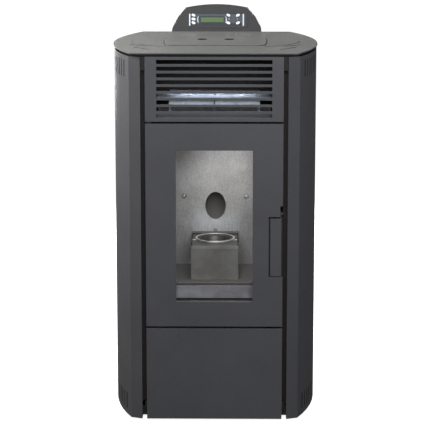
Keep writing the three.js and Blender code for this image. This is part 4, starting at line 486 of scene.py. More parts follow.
def oval(a, b, steps, cx=0.0, cy=0.0):
    """An ellipse's outline, a wide and b high either way from its centre."""
    angles = [2 * pi * i / steps for i in range(steps)]
    return [(cx + a * cos(angle), cy + b * sin(angle)) for angle in angles]


def rounded(x0, x1, y0, y1, radius, steps=5):
    """A rectangle's outline with round corners."""
    points = []
    for cx, cy, start in (
        (x1 - radius, y1 - radius, 0), (x0 + radius, y1 - radius, 90),
        (x0 + radius, y0 + radius, 180), (x1 - radius, y0 + radius, 270),
    ):
        for i in range(steps + 1):
            angle = radians(start + 90 * i / steps)
            points.append((cx + radius * cos(angle), cy + radius * sin(angle)))
    return points


def in_mm(*points):
    """Points given in millimetres."""
    return [(u * MM, v * MM) for u, v in points]


def panel(x0, x1, y0, y1, radius):
    """A round-cornered rectangle's outline, given in millimetres."""
    return rounded(*(value * MM for value in (x0, x1, y0, y1, radius)))


def hull(points):
    """The convex outline round flat points."""
    ordered = sorted({(round(p.x, 6), round(p.y, 6)) for p in points})
    sides = []
    for run in (ordered, ordered[::-1]):
        side = []
        for p in run:
            while len(side) > 1 and (
                (side[-1][0] - side[-2][0]) * (p[1] - side[-2][1])
                - (side[-1][1] - side[-2][1]) * (p[0] - side[-2][0])
            ) <= 0:
                side.pop()
            side.append(p)
        sides += side[:-1]
    return [Vector(p) for p in sides]


def closed_form(node):
    """A node's solid as a bmesh with shared corners and whole flat faces."""
    form = bmesh.new()
    form.from_mesh(NODES[node].data)
    bmesh.ops.remove_doubles(form, verts=form.verts, dist=0.5e-6)
    bmesh.ops.dissolve_limit(
        form, angle_limit=radians(0.3), verts=form.verts, edges=form.edges
    )
    return form


def ease(form, width, segments=2, least=radians(35), mark=False):
    """Rounds a form's sharp edges by width."""
    form.normal_update()
    edges = [
        edge
        for edge in form.edges
        if len(edge.link_faces) == 2 and edge.calc_face_angle(0) > least
    ]
    bmesh.ops.bevel(
        form,
        geom=edges,
        offset=width,
        offset_type="OFFSET",
        segments=segments,
        profile=0.5,
        affect="EDGES",
        clamp_overlap=True,
        material=1 if mark else -1,
    )
    return form


def dress(node, width, segments=2, finish=None, edge=None, slot=None):
    """The node's solid with eased edges takes its place."""
    form = ease(closed_form(node), width, segments, mark=edge is not None)
    return show(node + "_eased", form, BODY_OF[node], slot or SLOT_OF[node], (node,), finish, edge)


def darkened(piece, material, rule):
    """The faces that the rule picks by centre and normal take the material."""
    piece.data.materials.append(material)
    last = len(piece.data.materials) - 1
    for face in piece.data.polygons:
        if rule(face.center, face.normal):
            face.material_index = last
    return piece


# ---- screws


def screw(point, direction, radius, drive="cross", turn=0.3):
    """A pan-head screw on a washer, with a cross or hexagonal recess."""
    steps = 24
    height = radius * 0.62

    def recess(k, angle):
        if k < 8:
            return 1
        if drive == "hex":
            sector = (angle + turn) % (pi / 3) - pi / 6
            return 0.9 / cos(sector)
        wide = abs(cos(2 * (angle + turn)))
        return 0.4 + 0.75 * wide ** 3

    profile = [
        (radius * 1.45, -0.0004), (radius * 1.45, 0.00045), (radius * 1.4, 0.0006),
        (radius, 0.0006), (radius, height * 0.45), (radius * 0.9, height * 0.8),
        (radius * 0.72, height * 0.97), (radius * 0.6, height),
        (radius * 0.5, height), (radius * 0.42, height * 0.35),
    ]
    return turned(profile, steps, aimed(point, direction), recess)


def screws(name, places, body, slot, radius=0.0032, drive="cross", finish=None):
    """A set of screws on one body: places are (point, direction)."""
    forms = [screw(p, d, radius, drive, 0.3 + 0.7 * i) for i, (p, d) in enumerate(places)]
    return show(name, merged(*forms), body, slot, finish=finish or BRIGHT_STEEL)


# ---- painted sheet body

EASED_PANELS = ("left_side_panel", "right_side_panel", "grille_panel", "door_skin", "lower_panel")
EASED_SHEET = {"door_handle": 0.9, "base_tray": 0.4, "rear_panel": 0.4}
# where the cut sides of the flanks' vents and of the plate's slots lie
VENTS_FRONT, VENTS_BACK, VENTS_LEAST_X = -0.228, -0.110, 0.18
SLOTS_FRONT, SLOTS_BACK, SLOTS_LEAST_X, SLOTS_MOST_X = -0.2, -0.06, 0.12, 0.214
SKIRT_HEIGHT = 6.1 * MM


def in_vent(centre, normal):
    """The cut sides of the upright vent slots in the side panels."""
    in_reach = abs(centre.x) > VENTS_LEAST_X and VENTS_FRONT < centre.y < VENTS_BACK
    return in_reach and abs(normal.y) > 0.8


def painted_body():
    """The sheets seen from outside, with painted highlights on their edges, and painted shade in
    their slots and under the plate.
    """
    for node in EASED_PANELS:
        # the eased edges take the painted highlight
        sheet = dress(node, 0.55 * MM, edge=EDGE_HIGHLIGHT_PAINT)
        if node.endswith("side_panel"):
            # painted shade: the cut walls of the vents are painted near black
            darkened(sheet, BLACK_AND_SHADE, in_vent)
    for node, width in EASED_SHEET.items():
        dress(node, width * MM)
    # the posts carry the painted shade of the side gaps
    for node in ("left_post", "right_post"):
        dress(node, 0.4 * MM, finish=POST_SHADE_PAINT)
    for node in ("door_hinge_top", "door_hinge_bottom", "latch_hook"):
        dress(node, 0.5 * MM, finish=FINISHES["dark_steel"])
    # the plate's eased edges take the painted highlight too
    plate = dress("top_plate", 0.5 * MM, edge=EDGE_HIGHLIGHT_PAINT)
    skirt_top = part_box("top_plate")[0][2] + SKIRT_HEIGHT

    def in_shade(centre, normal):
        in_reach = (
            SLOTS_LEAST_X < abs(centre.x) < SLOTS_MOST_X and SLOTS_FRONT < centre.y < SLOTS_BACK
        )
        return centre.z < skirt_top or (in_reach and abs(normal.z) < 0.93)

    # painted shade: the plate's skirt under its edge and the cut walls of its slots are painted
    # near black
    darkened(plate, BLACK_AND_SHADE, in_shade)


FINGER_HOLES = ((-0.0346, 0.0125), (0.0346, 0.0125))
FINGER_HOLE_RADIUS = 10.5 * MM
LID_RIM_HEIGHT = 9 * MM
LID_CROWN_SHARE = 0.42               # of the solid's crown
LID_BACK_FOLD = 6 * MM
LID_HOLES_REACH = 0.06               # sideways and back from the plate's middle
LID_HOLES_FRONT = -0.09


def lid():
    """The hopper's lid, with its finger-hole walls painted dark as shade, black grommets, and a
    black strip round its edge that paints the shade of its gap.
    """
    body, slot = BODY_OF["hopper_lid"], SLOT_OF["hopper_lid"]
    low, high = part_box("hopper_lid")
    rest = low[2] + LID_RIM_HEIGHT
    form = closed_form("hopper_lid")
    for vertex in form.verts:
        if vertex.co.z > rest:
            vertex.co.z = rest + (vertex.co.z - rest) * LID_CROWN_SHARE
    form = ease(form, 0.35 * MM)
    edge = hull([
        v.co.xy.copy()
        for v in form.verts
        if v.co.z > rest + 0.2 * MM and v.co.y < high[1] - LID_BACK_FOLD
    ])
    centre = sum(edge, Vector((0, 0))) / len(edge)

    def grown(by):
        return [tuple(p + (p - centre).normalized() * by) for p in edge]

    def in_hole(centre, normal):
        in_reach = abs(centre.x) < LID_HOLES_REACH
        in_reach = in_reach and LID_HOLES_FRONT < centre.y < LID_HOLES_REACH
        return in_reach and abs(normal.z) < 0.9

    piece = show("hopper_lid_sheet", form, body, slot, ("hopper_lid",))
    # painted shade: the walls of the finger holes
    darkened(piece, BLACK_AND_SHADE, in_hole)
    surface = rest + (high[2] - rest) * LID_CROWN_SHARE - 0.2 * MM
    hole = FINGER_HOLE_RADIUS
    outline = [
        (hole - 0.9 * MM, -0.4 * MM), (hole - 0.05 * MM, -0.4 * MM), (hole - 0.05 * MM, 0.1 * MM),
        (hole + 2.1 * MM, 0.1 * MM), (hole + 2.3 * MM, 0.6 * MM), (hole + 1.6 * MM, 1.0 * MM),
        (hole - 0.5 * MM, 0.95 * MM), (hole - 0.9 * MM, 0.6 * MM),
    ]
    grommets = [
        ring_of(outline, 48, shifted(x, y, surface)) for x, y in FINGER_HOLES
    ]
    show("hopper_lid_grommets", merged(*grommets), body, slot, finish=BLACK_AND_SHADE)
    # painted shade: a black strip just under the lid's edge shows as the dark gap round it
    under = shifted(0, 0, rest - 0.25 * MM)
    gap_shade = slab(grown(2.0 * MM), 0.5 * MM, under, [grown(-7 * MM)])
    show("hopper_lid_shade_strip", gap_shade, body, slot, finish=BLACK_AND_SHADE)


def foot(node):
    """A ribbed pad on a threaded stud, with its lock nut."""
    low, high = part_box(node)
    cx, cy, _ = middle(low, high)
    radius = (high[0] - low[0]) / 2
    top = high[2]
    place = aimed(Vector((cx, cy, 0)), UP)
    pad_profile = [
        (radius - 2.4 * MM, 0), (radius - 0.8 * MM, 0.4 * MM), (radius, 1.6 * MM),
        (radius, 4.2 * MM), (radius - 0.7 * MM, 5.4 * MM), (radius - 2.4 * MM, 6 * MM),
        (11 * MM, 6 * MM), (10.4 * MM, 6.4 * MM),
    ]
    grip = turned(
        pad_profile, 72, place,
        lambda k, a: 0.988 + (0.012 * cos(24 * a) if 1 < k < 5 else 0.012),
    )
    nut = turned(
        in_mm((8.2, 6.2), (9.9, 6.7), (9.9, 9.2), (8.2, 9.7)), 48, place,
        lambda k, a: 1 if k in (0, 3) else 0.87 / cos(a % (pi / 3) - pi / 6),
    )
    thread = []
    z = 6 * MM
    while z < top - 2 * MM:
        thread += [(4.4 * MM, z), (5 * MM, z + 0.4 * MM), (5 * MM, z + 0.75 * MM)]
        z += 1.25 * MM
    stud = turned(thread + [(4.2 * MM, top - 0.6 * MM), (3.6 * MM, top)], 24, place)
    show(node + "_pad", grip, BODY_OF[node], "black_plastic", (node,))
    show(node + "_stud", merged(nut, stud), BODY_OF[node], "zinc_steel")


REAR_SCREW_HEIGHTS = (0.03, 0.25, 0.47, 0.69, 0.895)
REAR_TOP_SCREWS = ((-0.085, 0.915), (0.085, 0.915))


def rear_fasteners():
    """Screws that hold the rear sheet and the mains inlet."""
    low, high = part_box("rear_panel")
    places = [
        (Vector((x, high[1], z)), BACK)
        for x in (low[0] + 9 * MM, high[0] - 9 * MM)
        for z in REAR_SCREW_HEIGHTS
    ]
    places += [(Vector((x, high[1], z)), BACK) for x, z in REAR_TOP_SCREWS]
    screws("rear_panel_screws", places, "frame", "zinc_steel", 0.0034)
    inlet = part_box("mains_inlet")
    z = (inlet[0][2] + inlet[1][2]) / 2
    ears = [
        (Vector((x, high[1] + 2.8 * MM, z)), BACK)
        for x in (inlet[0][0] + 1.9 * MM, inlet[1][0] - 1.9 * MM)
    ]
    screws("mains_inlet_screws", ears, "frame", "zinc_steel", 0.0011)


# ---- firebox

LINER_RAISED = 14 * MM
CHUTE_HOLE_Z = 0.506
PIPE_HOLES_Z = 0.371
LINER_SCREWS = ((-0.0825, 0.5310), (0.0791, 0.5307))
BOX_MOUTH_BACK = -52 * MM


def rear_liner():
    """The bright sheet at the back of the firebox, with its holes, two screws and their painted
    shadows.
    """
    low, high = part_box("rear_liner")
    face, base = low[1], low[2]
    wide = high[0] * 2
    top = high[2] + LINER_RAISED
    cut = [
        oval(26.5 * MM, 36 * MM, 64, 0, CHUTE_HOLE_Z - base),
        oval(16.3 * MM, 16.3 * MM, 40, -37 * MM, PIPE_HOLES_Z - base),
        oval(6.3 * MM, 6.3 * MM, 24, 28 * MM, PIPE_HOLES_Z - base),
    ]
    # x to the right, y up the sheet, z towards the door
    upright = shifted(0, face + 2 * MM, base) @ UPRIGHT
    outline = [(-wide / 2, 0), (wide / 2, 0), (wide / 2, top - base), (-wide / 2, top - base)]
    sheet = ease(slab(outline, 2 * MM, upright, cut), 0.35 * MM)
    fold = bar(
        (-wide / 2, face + 2.1 * MM, top - 2 * MM), (wide / 2, high[1], top), 0.35 * MM
    )
    show("rear_liner_sheet", merged(sheet, fold), "frame", "firebox_steel", ("rear_liner",))
    screws(
        "rear_liner_screws", [(Vector((x, face - 0.7 * MM, z)), FORWARD) for x, z in LINER_SCREWS],
        "frame", "firebox_steel", 0.0036, finish=BRIGHT_STEEL,
    )
    # painted shadow: a dark ring behind each screw, set off down and to the right
    washer = in_mm((1.9, 0.1), (6.1, 0.1), (6.3, 0.4), (6.0, 0.7), (1.9, 0.7))
    screw_shadows = [
        ring_of(washer, 32, aimed(Vector((x + 0.3 * MM, face, z - 0.3 * MM)), FORWARD))
        for x, z in LINER_SCREWS
    ]
    show(
        "rear_liner_screw_shadows", merged(*screw_shadows), "frame", "firebox_steel",
        finish=FINISHES["dark_steel"],
    )


def pot_box():
    """The box under the burn pot, its upward faces painted darker, a black rim of painted shade
    round its mouth, and its pale front lip.
    """
    box = dress("burn_pot_box", 0.7 * MM, finish=DULL_STEEL)
    # painted shade: the box's upward faces are darker than its sides
    darkened(box, SHADED_TOP_STEEL, lambda centre, normal: normal.z > 0.7)
    low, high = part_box("burn_pot_box")
    top = high[2] - 7 * MM
    (x0, y0), x1 = low[:2], high[0]
    # painted shade: black bars along the back and sides of the mouth
    rims = [
        bar((*corner, top - 0.2 * MM), (*other, top + 2.6 * MM), 0.4 * MM)
        for corner, other in (
            ((x0, BOX_MOUTH_BACK), (x1, BOX_MOUTH_BACK + 2.4 * MM)),
            ((x0, y0 + 1.8 * MM), (x0 + 2.2 * MM, BOX_MOUTH_BACK - 0.2 * MM)),
            ((x1 - 2.2 * MM, y0 + 1.8 * MM), (x1, BOX_MOUTH_BACK - 0.2 * MM)),
        )
    ]
    lip = bar(
        (x0 - 0.5 * MM, y0 - 0.9 * MM, top - 8 * MM),
        (x1 + 0.5 * MM, y0 - 0.05 * MM, top + 0.4 * MM),
    )
    show("burn_pot_box_lip", lip, "frame", "firebox_steel", finish=PALE_STEEL)
    show("burn_pot_box_shade_rim", merged(*rims), "frame", "firebox_steel", finish=BLACK_AND_SHADE)


def burn_pot():
    """The cast cup: a rolled rim, a conical bowl and a sieve of air holes."""
    low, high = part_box("burn_pot")
    cx, cy, _ = middle(low, high)
    rim, base = high[2], low[2]
    shoulder = rim - 10 * MM
    place = aimed(Vector((cx, cy, 0)), UP, BACK)
    lip = shoulder + 5 * MM
    profile = [
        (24.6, base), (29, base + 0.0002), (30, base + 0.0012), (41.6, shoulder - 0.0064),
        (42, shoulder - 0.0055), (42, shoulder - 0.0004), (42.4, shoulder), (49.4, shoulder),
        (50.8, shoulder + 0.0008), (51, lip - 0.0022), (50.7, lip - 0.0009), (49.8, lip - 0.0002),
        (48.6, lip), (46.9, lip - 0.0003), (46, lip - 0.0012), (42, shoulder + 0.0012),
        (39.2, shoulder), (27.4, base + 0.0036), (26.2, base + 0.003), (24.6, base + 0.003),
    ]
    cup = ring_of([(r * MM, z) for r, z in profile], 96, place)
    # the collar and the rim are bright, the bowl is dark
    for face in cup.faces:
        centre = face.calc_center_median()
        outward = (centre - Vector((cx, cy, centre.z))).dot(face.normal) > 0
        on_rim = centre.z > shoulder - 0.0005 and (outward or centre.z > lip - 0.0018)
        face.material_index = 0 if on_rim else 1
    air_holes = [oval(2.1 * MM, 2.1 * MM, 14)]
    for count, r in ((6, 11), (10, 20)):
        for i in range(count):
            a = 2 * pi * i / count
            x, y = r * MM * cos(a), r * MM * sin(a)
            air_holes.append(oval(2.1 * MM, 2.1 * MM, 14, x, y))
    sieve = slab(
        oval(24.7 * MM, 24.7 * MM, 96), 2.9 * MM,
        place @ shifted(0, 0, base + 0.05 * MM), air_holes,
    )
    for face in sieve.faces:
        face.material_index = 1
    show(
        "burn_pot_cast", merged(cup, sieve), "burn_pot", "cast_iron", ("burn_pot",),
        finish=BRIGHT_STEEL, edge=FINISHES["cast_iron"],
    )
    lugs = []
    for s in (-1, 1):
        spot = shifted(cx + s * 51 * MM, cy - 14 * MM, shoulder + 0.15 * MM)
        lugs.append(ease(slab(panel(-7, 7, -3.6, 3.6, 3), 1.8 * MM, spot), 0.4 * MM))
    show("burn_pot_lugs", merged(*lugs), "burn_pot", "cast_iron", finish=BRIGHT_STEEL)


# heights of the painted shadow strip on the pan's front
PAN_SHADOW_Z = (0.2945, 0.3115)


def ash_pan():
    """The pan with a painted shadow strip across its front and its upward faces painted darker, the
    floor plate and the firebox's shell.
    """
    pan = dress("ash_pan", 0.35 * MM, finish=BLUE_STEEL)
    # painted shade: the pan's upward faces take the darker steel
    darkened(pan, SHADED_TOP_STEEL, lambda centre, normal: normal.z > 0.25)
    low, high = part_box("ash_pan")
    # painted shadow: a black strip where the door's frame shades the pan's front
    strip = bar(
        (low[0] + MM, low[1] - 1.3 * MM, PAN_SHADOW_Z[0]),
        (high[0] - MM, low[1] - 0.1 * MM, PAN_SHADOW_Z[1]),
    )
    show("ash_pan_shadow_strip", strip, "frame", "black_plastic", finish=BLACK_AND_SHADE)
    dress("firebox_floor", 0.6 * MM, finish=FLOOR_STEEL)
    dress("firebox_shell", 0.5 * MM)


def igniter_rod():
    """The hot rod in its sleeve, with a crimped end."""
    low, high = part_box("igniter")
    cx, _, cz = middle(low, high)
    place = aimed(Vector((cx, low[1], cz)), BACK)
    length = high[1] - low[1]
    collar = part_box("firebox_shell")[1][1] - low[1]
    profile = in_mm((4.6, 0.0), (5.6, 0.5), (6, 1.5), (6, 24), (5.7, 25), (6, 26))
    profile += [
        (6 * MM, collar + 0.3 * MM), (9.4 * MM, collar + 0.5 * MM), (9.6 * MM, collar + 1.2 * MM),
        (9.6 * MM, collar + 4 * MM), (9 * MM, collar + 4.8 * MM), (6 * MM, collar + 4.9 * MM),
        (6 * MM, length - 1 * MM), (5 * MM, length),
    ]
    rod = turned(profile, 40, place)
    show("igniter_rod", rod, BODY_OF["igniter"], SLOT_OF["igniter"], ("igniter",))


def intake_pipe():
    """A thin pipe with a rolled groove near its outer end."""
    low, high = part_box("air_intake_pipe")
    cx, _, cz = middle(low, high)
    radius = (high[0] - low[0]) / 2
    length = high[1] - low[1]
    place = aimed(Vector((cx, low[1], cz)), BACK)
    wall = 1.5 * MM
    outline = [
        (radius - wall, 0), (radius - 0.3 * MM, 0), (radius, 0.4 * MM),
        (radius, length - 14 * MM), (radius - 0.9 * MM, length - 12.6 * MM),
        (radius, length - 11.2 * MM), (radius, length - 0.6 * MM),
        (radius - 0.5 * MM, length), (radius - wall, length - 0.2 * MM),
    ]
    pipe = ring_of(outline, 64, place)
    show("air_intake_tube", pipe, "frame", SLOT_OF["air_intake_pipe"], ("air_intake_pipe",))


def flue():
    """The smoke pipe: down from the fan, round a bend and out through the rear."""
    low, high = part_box("flue_pipe")
    radius = (high[0] - low[0]) / 2
    x, z, y = low[0] + radius, low[2] + radius, low[1] + radius
    top, end, bend, wall = high[2], high[1], 52 * MM, 1.5 * MM
    line = [(Vector((x, y, top)), FORWARD), (Vector((x, y, top - 4 * MM)), FORWARD)]
    for i in range(13):
        angle = pi / 2 * i / 12
        centre = Vector((x, y + bend * (1 - cos(angle)), z + bend * (1 - sin(angle))))
        line.append((centre, Vector((0, -cos(angle), -sin(angle)))))
    grooves = ((24, 0), (22.6, 0.9), (21.2, 0), (1, 0), (0, 0.4))
    line += [(Vector((x, end - back * MM, z)), -UP) for back, _ in grooves]
    sunk = [0] * (len(line) - len(grooves)) + [depth * MM for _, depth in grooves]

    def ring(centre, side, r):
        return [
            centre + RIGHT * r * cos(a) + side * r * sin(a)
            for a in [2 * pi * k / 64 for k in range(64)]
        ]

    outside = [ring(c, side, radius - s) for (c, side), s in zip(line, sunk)]
    inside = [ring(c, side, radius - wall) for c, side in line]
    pipe = lofted(outside + inside[::-1], closed=True)
    show("flue_bend", pipe, "frame", "zinc_steel", ("flue_pipe",))


# ---- door fittings


def gasket():
    """The knitted rope pressed into the door frame's groove."""
    low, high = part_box("door_gasket")
    thick = high[1] - low[1]
    wide = 13 * MM
    x0, x1 = low[0] + wide / 2, high[0] - wide / 2
    z0, z1 = low[2] + wide / 2, high[2] - wide / 2
    y = (low[1] + high[1]) / 2
    corners = [Vector((x, y, z)) for x, z in rounded(x0, x1, z0, z1, 12 * MM, 10)]
    line = []
    for a, b in zip(corners, corners[1:] + corners[:1]):
        parts = max(1, round((b - a).length / (2 * MM)))
        line += [a.lerp(b, k / parts) for k in range(parts)]
    rings = []
    for i, point in enumerate(line):
        along = (line[(i + 1) % len(line)] - line[i - 1]).normalized()
        out = along.cross(BACK).normalized()
        ring = []
        for k in range(20):
            angle = 2 * pi * k / 20
            swell = 0.94 + 0.06 * sin(5 * angle + 0.5 * i) * sin(5 * angle - 0.5 * i)
            ring.append(
                point + out * cos(angle) * swell * wide / 2
                + BACK * sin(angle) * swell * thick / 2
            )
        rings.append(ring)
    rope = lofted(rings, closed=True)
    show("door_gasket_rope", rope, "door", "gasket_rope", ("door_gasket",), angle=pi)


WINDOW_HALF, WINDOW_SILL, WINDOW_HEAD = 94.8 * MM, 311.7 * MM, 693.7 * MM
SIGHT_INSET = 2 * MM
ON_EDGE = 0.6 * MM                   # corners nearer than this belong to the edge


def door_inside():
    """The door's inner frame, its sight edge level with the window, and its bolts."""
    form = closed_form("door_frame")
    for vertex in form.verts:
        point = vertex.co
        if abs(abs(point.x) - (WINDOW_HALF - SIGHT_INSET)) < ON_EDGE:
            point.x = copysign(WINDOW_HALF + 0.3 * MM, point.x)
        if abs(point.z - (WINDOW_SILL + SIGHT_INSET)) < ON_EDGE:
            point.z = WINDOW_SILL - 0.2 * MM
        if abs(point.z - (WINDOW_HEAD - SIGHT_INSET)) < ON_EDGE:
            point.z = WINDOW_HEAD + 0.3 * MM
    ease(form, 0.6 * MM)
    show("door_frame_eased", form, "door", SLOT_OF["door_frame"], ("door_frame",))
    low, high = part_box("door_frame")
    places = [
        (Vector((x, high[1], z)), BACK)
        for x in (low[0] + 30 * MM, high[0] - 30 * MM)
        for z in (low[2] + 34 * MM, high[2] - 34 * MM)
    ]
    screws("door_frame_screws", places, "door", "cast_iron", 0.0036, "hex")


# ---- wheels and feed

DRUM_BLADES = 40


def drum_wheel():
    """The convection blower's double drum of pressed blades."""
    node = "convection_impeller"
    low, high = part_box(node)
    _, cy, cz = middle(low, high)
    radius = (high[2] - low[2]) / 2
    half = 68 * MM
    place = aimed(Vector((0, cy, cz)), RIGHT)
    rim = (radius - 8 * MM, radius - 0.1 * MM)
    forms = [
        ring_of([(rim[0], e - MM), (rim[1], e - MM), (rim[1], e + MM), (rim[0], e + MM)], 72, place)
        for e in (-half, half)
    ]
    disc = radius - 0.3 * MM
    forms.append(turned([(5 * MM, -MM), (disc, -MM), (disc, MM), (5 * MM, MM)], 72, place))
    for i in range(DRUM_BLADES):
        start = 2 * pi * i / DRUM_BLADES
        outside, inside = [], []
        for k in range(5):
            r = radius - 0.5 * MM - k / 4 * 7.5 * MM
            angle = start + 0.16 * sin(k / 4 * pi / 2)
            outside.append((r * cos(angle), r * sin(angle)))
            inside.append((r * cos(angle + 0.012), r * sin(angle + 0.012)))
        left_end = place @ shifted(0, 0, -half)
        forms.append(slab(outside + inside[::-1], 2 * half, left_end))
    shaft = [
        (3.4 * MM, low[0]), (4.9 * MM, low[0] + MM), (4.9 * MM, -14 * MM), (13 * MM, -13 * MM),
        (13 * MM, 13 * MM), (4.9 * MM, 14 * MM), (4.9 * MM, high[0] - MM), (3.4 * MM, high[0]),
    ]
    forms.append(turned(shaft, 32, place))
    drum = merged(*forms)
    show("convection_drum", drum, BODY_OF[node], "dark_steel", (node,), FINISHES["zinc_steel"])


EASED_WORKS = {
    "hopper": 0.4, "convection_blower_housing": 0.4, "exhaust_fan_housing": 0.4,
    "exhaust_impeller": 0.25, "exhaust_motor": 0.8, "auger_screw": 0.25, "auger_motor": 0.8,
    "display_board": 0.2, "mains_inlet": 0.4, "rocker_switch": 0.35, "control_board": 0.3,
}


def works():
    """The feed, fans, ducts and electrics, with eased edges."""
    for node, width in EASED_WORKS.items():
        dress(node, width * MM)
    dress("auger_tube", 0.3 * MM, finish=CHUTE_GREY)
    dress("pellet_chute", 0.3 * MM, finish=CHUTE_GREY)
    dress("lid_hinge", 0.35 * MM, finish=FINISHES["plate_paint"])
    dress("air_jacket", 0.4 * MM, finish=DULL_STEEL)
    dress("hot_air_duct", 0.35 * MM, finish=DUCT_ZINC)
    dress("air_deflector", 0.35 * MM, finish=DEFLECTOR_PAINT)


# ---- behind the grille

DUCT_HALF = 112 * MM                 # half the width of the duct's front
BAFFLE_DEPTH = 60 * MM
BAFFLE_BACK = 85 * MM


def grille_shade_baffles():
    """Black sheets behind the grille that paint the shade seen through its gaps and close off the
    side spaces.
    """

    def sheet(x0, x1, y0, y1, z0, z1):
        return bar((min(x0, x1), y0, z0), (max(x0, x1), y1, z1))

    _, jacket_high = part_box("air_jacket")
    duct_low, duct_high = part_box("hot_air_duct")
    _, grille_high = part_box("grille_panel")
    half = jacket_high[0] - 2 * MM
    front, back = grille_high[1] + 0.5 * MM, duct_low[1] + BAFFLE_BACK
    base, top = jacket_high[2] + 0.4 * MM, grille_high[2] - 4 * MM
    inner, outer = DUCT_HALF + 0.5 * MM, half - 1.4 * MM
    sides = [
        sheet(s * half, s * (half - MM), front, duct_low[1] + BAFFLE_DEPTH, base, top)
        for s in (-1, 1)
    ]
    over = sheet(-outer, outer, back, back + MM, duct_high[2] + 0.4 * MM, top)
    ends = [
        sheet(s * inner, s * outer, back, back + MM, base, duct_high[2] + 0.35 * MM)
        for s in (-1, 1)
    ]
    show("grille_shade_baffles", merged(*sides, over, *ends), "frame", "dark_steel", finish=BLACK_AND_SHADE)


BROW_INNER, BROW_OUTER = 0.1 * MM, 140.2 * MM
BROW_REACH, BROW_DROP = 11 * MM, 11.5 * MM
SEAM_FRONT, SEAM_BACK = -0.2205, -0.2197
GUARD_HALF, GUARD_BACK = 139 * MM, -0.2199
SLOT_PITCH, SLOT_RISE = 34, 4.1      # in millimetres


def duct_front():
    """The duct's rolled brow with its painted sheen, the seam of its front and the guard in its
    mouth.
    """
    low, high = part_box("hot_air_duct")
    front, crest = low[1], high[2]
    curve = [(front + 0.2 * MM, crest - 0.1 * MM)]
    for k in range(9):
        a = radians(10 + 8.5 * k)
        drop = BROW_DROP * (1 - cos(a))
        curve.append((front - BROW_REACH * sin(a), crest + 0.4 * MM - drop))
    curve += [(y + 0.8 * MM, z - 0.7 * MM) for y, z in curve[::-1]]
    halves = []
    for s in (-1, 1):
        ends = [[Vector((s * x, y, z)) for y, z in curve] for x in (BROW_INNER, BROW_OUTER)]
        halves.append(lofted(ends if s > 0 else ends[::-1]))
    # the brow's paint is a painted sheen, lit by the grille lamp
    show("duct_brow", merged(*halves), "frame", "zinc_steel", finish=BROW_SHEEN_PAINT)
    notch = bar(
        (-1.8 * MM, front - 4.6 * MM, crest + 0.1 * MM),
        (1.8 * MM, front - 1.2 * MM, crest + 1.1 * MM),
    )
    show("duct_brow_notch", notch, "frame", "dark_steel", finish=BLACK_AND_SHADE)
    seam = bar(
        (-1.6 * MM, SEAM_FRONT, crest - 25.5 * MM), (1.6 * MM, SEAM_BACK, crest - 2.4 * MM),
        0.25 * MM,
    )
    show("duct_seam", seam, "frame", "dark_steel")
    guard_top, guard_base = crest - 27 * MM, low[2] + 15 * MM
    slots = [
        oval(
            15.5 * MM, 1.1 * MM, 20,
            (column - 3.5) * SLOT_PITCH * MM, guard_base + (3 + SLOT_RISE * row) * MM,
        )
        for row in range(4)
        for column in range(8)
    ]
    upright = shifted(0, GUARD_BACK, 0) @ UPRIGHT
    outline = [
        (-GUARD_HALF, guard_base), (GUARD_HALF, guard_base),
        (GUARD_HALF, guard_top), (-GUARD_HALF, guard_top),
    ]
    guard = slab(outline, 0.8 * MM, upright, slots)
    show("duct_guard", guard, "frame", "dark_steel", finish=GUARD_GREY)


# ---- console

CONSOLE_LEAN = radians(8)
INSET_DEPTH = 0.8 * MM
BRACKET_CENTRE_Y, BRACKET_HALF = 31.6 * MM, 9.4 * MM
BRACKET_BOW, BRACKET_SWELL = 2.2 * MM, 0.75 * MM
SIGNALS_X, SIGNALS_Y = (34.1, 55.7), 33.2 * MM


